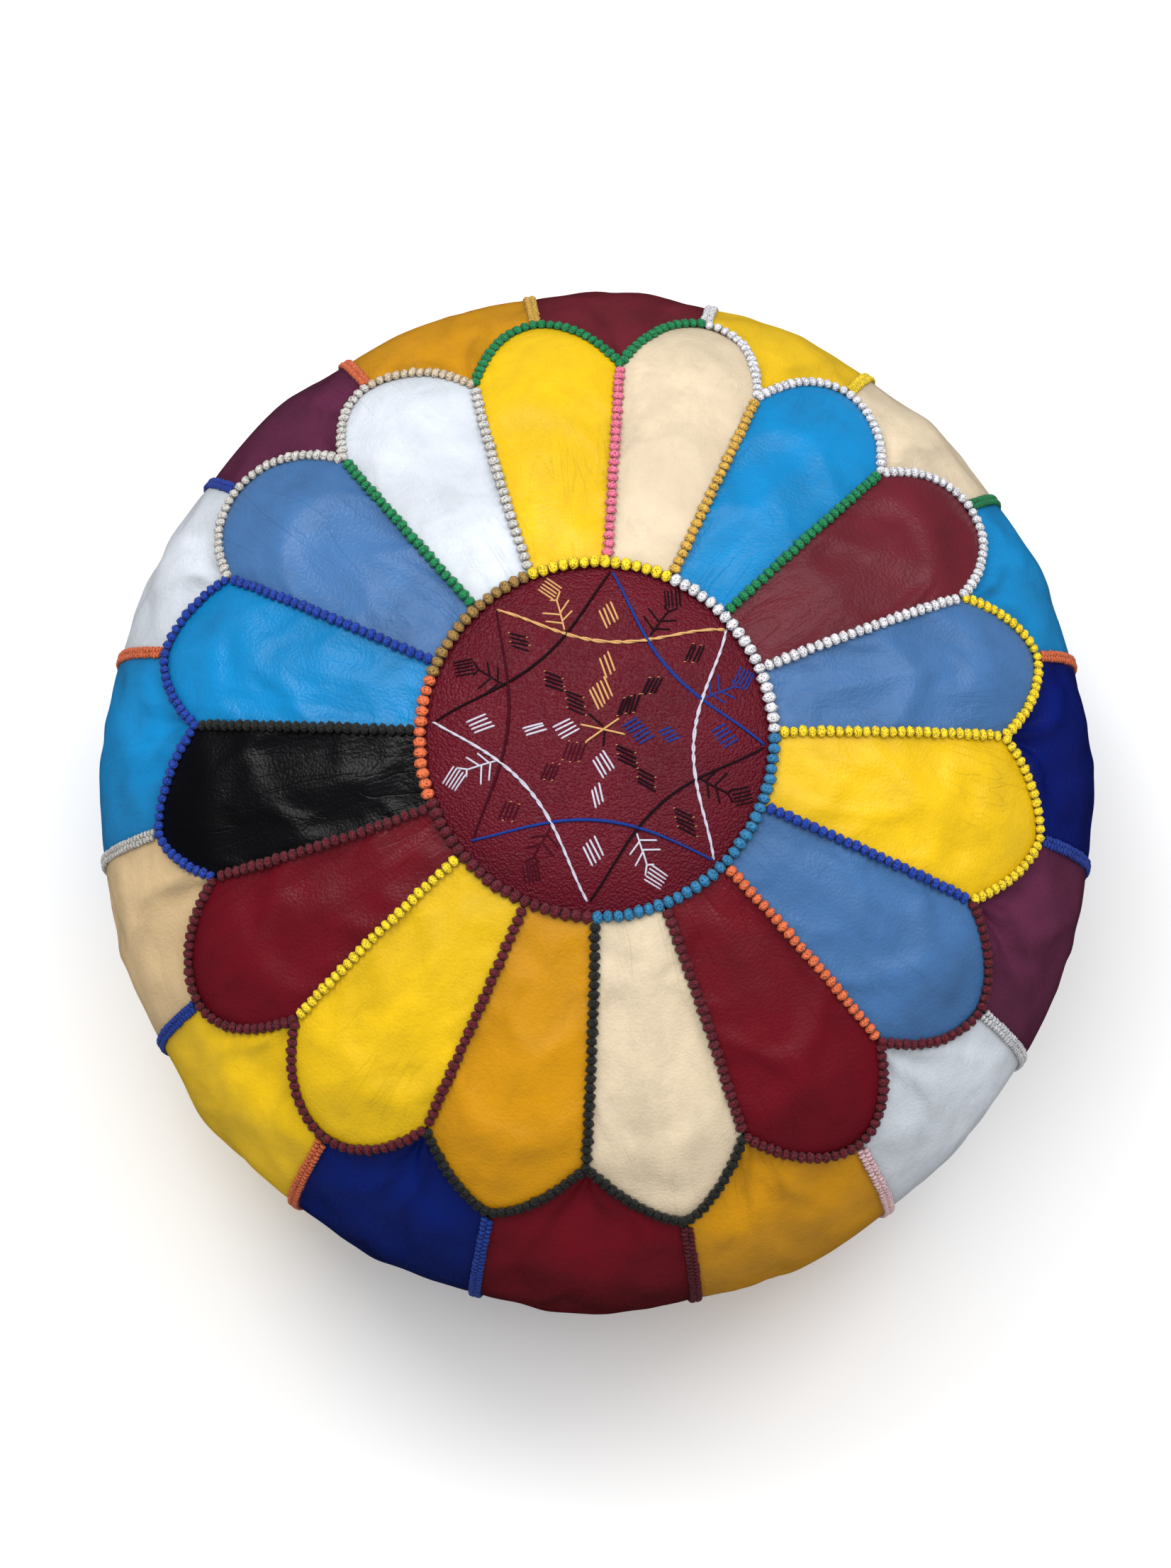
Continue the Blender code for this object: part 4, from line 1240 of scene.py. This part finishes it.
for point, turn in zip(path.points, arch_turns):
    drop = (BAIL_HEIGHT - BAIL_WIRE + BAIL_SINK) * math.sin(turn) ** 0.5
    point.co = (centre + BAIL_HALF * math.cos(turn), 0.0, lower + BAIL_SINK - drop, 1.0)
bail = put_in(bpy.data.objects.new("slider_bail", arch))
pick(bail)
bpy.ops.object.convert(target="MESH")
bail.data.materials.append(brass)
slider = joined("zip_slider_brass", plates + [bail])
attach(slider, "slider")
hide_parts("zip_slider")

PULL = (0.0240, 0.0064, 0.0012)
PULL_SLOPE = math.radians(14.0)
PIVOT_DROP = 0.0013  # below the lower plate
PULL_ROUNDING = 0.00035

bpy.ops.object.select_all(action="DESELECT")
bpy.ops.mesh.primitive_cube_add(size=1.0)
pull = bpy.context.object
pull.name = "zip_pull_brass"
pull.scale = PULL
pull.location = (-PULL[0] / 2 + PULL[2] / 2, 0.0, 0.0)
placed()
window = block("pull_window", (-0.0048, -0.0016, -0.002), (-0.0006, 0.0016, 0.002), 0.0004)
slot_cut = pull.modifiers.new("slot", "BOOLEAN")
slot_cut.object = window
slot_cut.solver = "EXACT"
edges = pull.modifiers.new("edges", "BEVEL")
edges.width = PULL_ROUNDING
edges.segments = 3
edges.limit_method = "ANGLE"
settle(pull)
bpy.data.objects.remove(window)
pull.data.materials.clear()
pull.data.materials.append(brass)
hung = Matrix.Translation(Vector((centre, 0.0, lower - PIVOT_DROP)))
pull.data.transform(hung @ Matrix.Rotation(-PULL_SLOPE, 4, "Y"))
pick(pull)
bpy.ops.object.shade_smooth_by_angle(angle=math.radians(35))
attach(pull, "pull")
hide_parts("zip_pull")

# Inside: a plain cotton liner bag, gathered round its mouth above the zip, and
# the loose cotton wadding that fills it.

COTTON = 0.0007
LINER_LIFT = -0.0090
LINER_BOTTOM = 0.0165
LINER_MOUTH = 0.050
LINER_ROUND = 160
LINER_PLEATS = 40
PLEAT = 0.0006
PLEAT_RUN = 0.012
WADDING_LIFT = -0.0125
WADDING_BOTTOM = 0.0190
WADDING_ROUND = 120
INNER_STEPS = 60


def inner_rows(lift, bottom, mouth, columns):
    """Rows of points for a body inside the cover: over the top, down, and under."""
    bearing = np.linspace(0.0, 360.0, columns, endpoint=False)
    reach = np.linspace(0.006, FOOT_REACH, INNER_STEPS)[:, None]
    body = on_cover(bearing + 0 * reach, reach + 0 * bearing, lift)
    body = body[body[..., 2].min(axis=1) > bottom + 0.004]
    edge = body[-1]
    under = np.linspace(0.97, 0.0, 16)[:, None, None]
    target = edge * (mouth / np.linalg.norm(edge[:, :2], axis=1).mean())
    floor_rows = target + (edge - target) * under
    floor_rows[..., 2] = bottom
    return np.concatenate([body, floor_rows])


def wrapped(name, rows, material, closed_below):
    """A skin over rows of points that run round from top to bottom, closed at the top, and below
    when closed_below is set.
    """
    count, columns = rows.shape[:2]
    points = rows.reshape(-1, 3).tolist() + [rows[0].mean(axis=0).tolist()]
    index = np.arange(count * columns).reshape(count, columns)
    index = np.concatenate([index, index[:, :1]], axis=1)
    faces = quads_of(index).tolist()
    faces += [(count * columns, a, b) for a, b in zip(index[0, :-1], index[0, 1:])]
    if closed_below:
        points.append(rows[-1].mean(axis=0).tolist())
        faces += [(len(points) - 1, b, a) for a, b in zip(index[-1, :-1], index[-1, 1:])]
    piece = show(name, points, faces, material)
    face = piece.data.polygons[len(faces) // 3]
    if face.normal.dot(face.center - AIM) < 0:
        piece.data.flip_normals()
    return piece


def crumpled(rows, depth, size, seed):
    """Rows of points with soft noise, moved towards and away from the middle."""
    return rows + unit(rows - np.array(AIM)) * uneven(rows, size, seed)[..., None] * depth


liner_rows = inner_rows(LINER_LIFT, LINER_BOTTOM, LINER_MOUTH, LINER_ROUND)
liner_rows = crumpled(liner_rows, 0.0006, 0.02, 61)
pleats = np.cos(np.linspace(0.0, 2 * math.pi * LINER_PLEATS, LINER_ROUND, endpoint=False))
gathering = np.hypot(liner_rows[..., 0], liner_rows[..., 1]) - LINER_MOUTH
gathering = np.exp(-gathering / PLEAT_RUN)
gathering[liner_rows[..., 2] > 0.03] = 0.0
liner_rows[..., 2] -= PLEAT * gathering * (1 + pleats)
cotton = woven("cotton_cloth", (0.72, 0.66, 0.54))
liner = wrapped("liner_bag_cotton", liner_rows, cotton, False)
walled(liner, COTTON)
settle(liner)
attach(liner, "pouf")
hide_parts("liner_bag")


def wadding(name, colour):
    """Loose cotton wadding: pale, matt and fibrous."""
    made, tree, shader = blank(name)
    where = wire(tree, "TexCoord").outputs["Object"]
    tuft = clouds(tree, where, 90.0, 8.0, 0.75, 1.2)
    tones = mixed(tree, tuft, shade(colour, 0.75), shade(colour, 1.15))
    feed(tree, shader, {"Base Color": tones, "Normal": relief(tree, tuft, 0.002, 0.8)})
    feed(tree, shader, {"Roughness": 1.0, "Sheen Weight": 0.3})
    return made


filling_rows = inner_rows(WADDING_LIFT, WADDING_BOTTOM, 0.004, WADDING_ROUND)
filling_rows = crumpled(filling_rows, 0.0016, 0.03, 83)
filling_rows[..., 2] = np.maximum(filling_rows[..., 2], WADDING_BOTTOM)
fluff = wadding("cotton_wadding", (0.80, 0.78, 0.72))
filling = wrapped("stuffing_wadding", filling_rows, fluff, True)
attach(filling, "pouf")
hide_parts("stuffing")
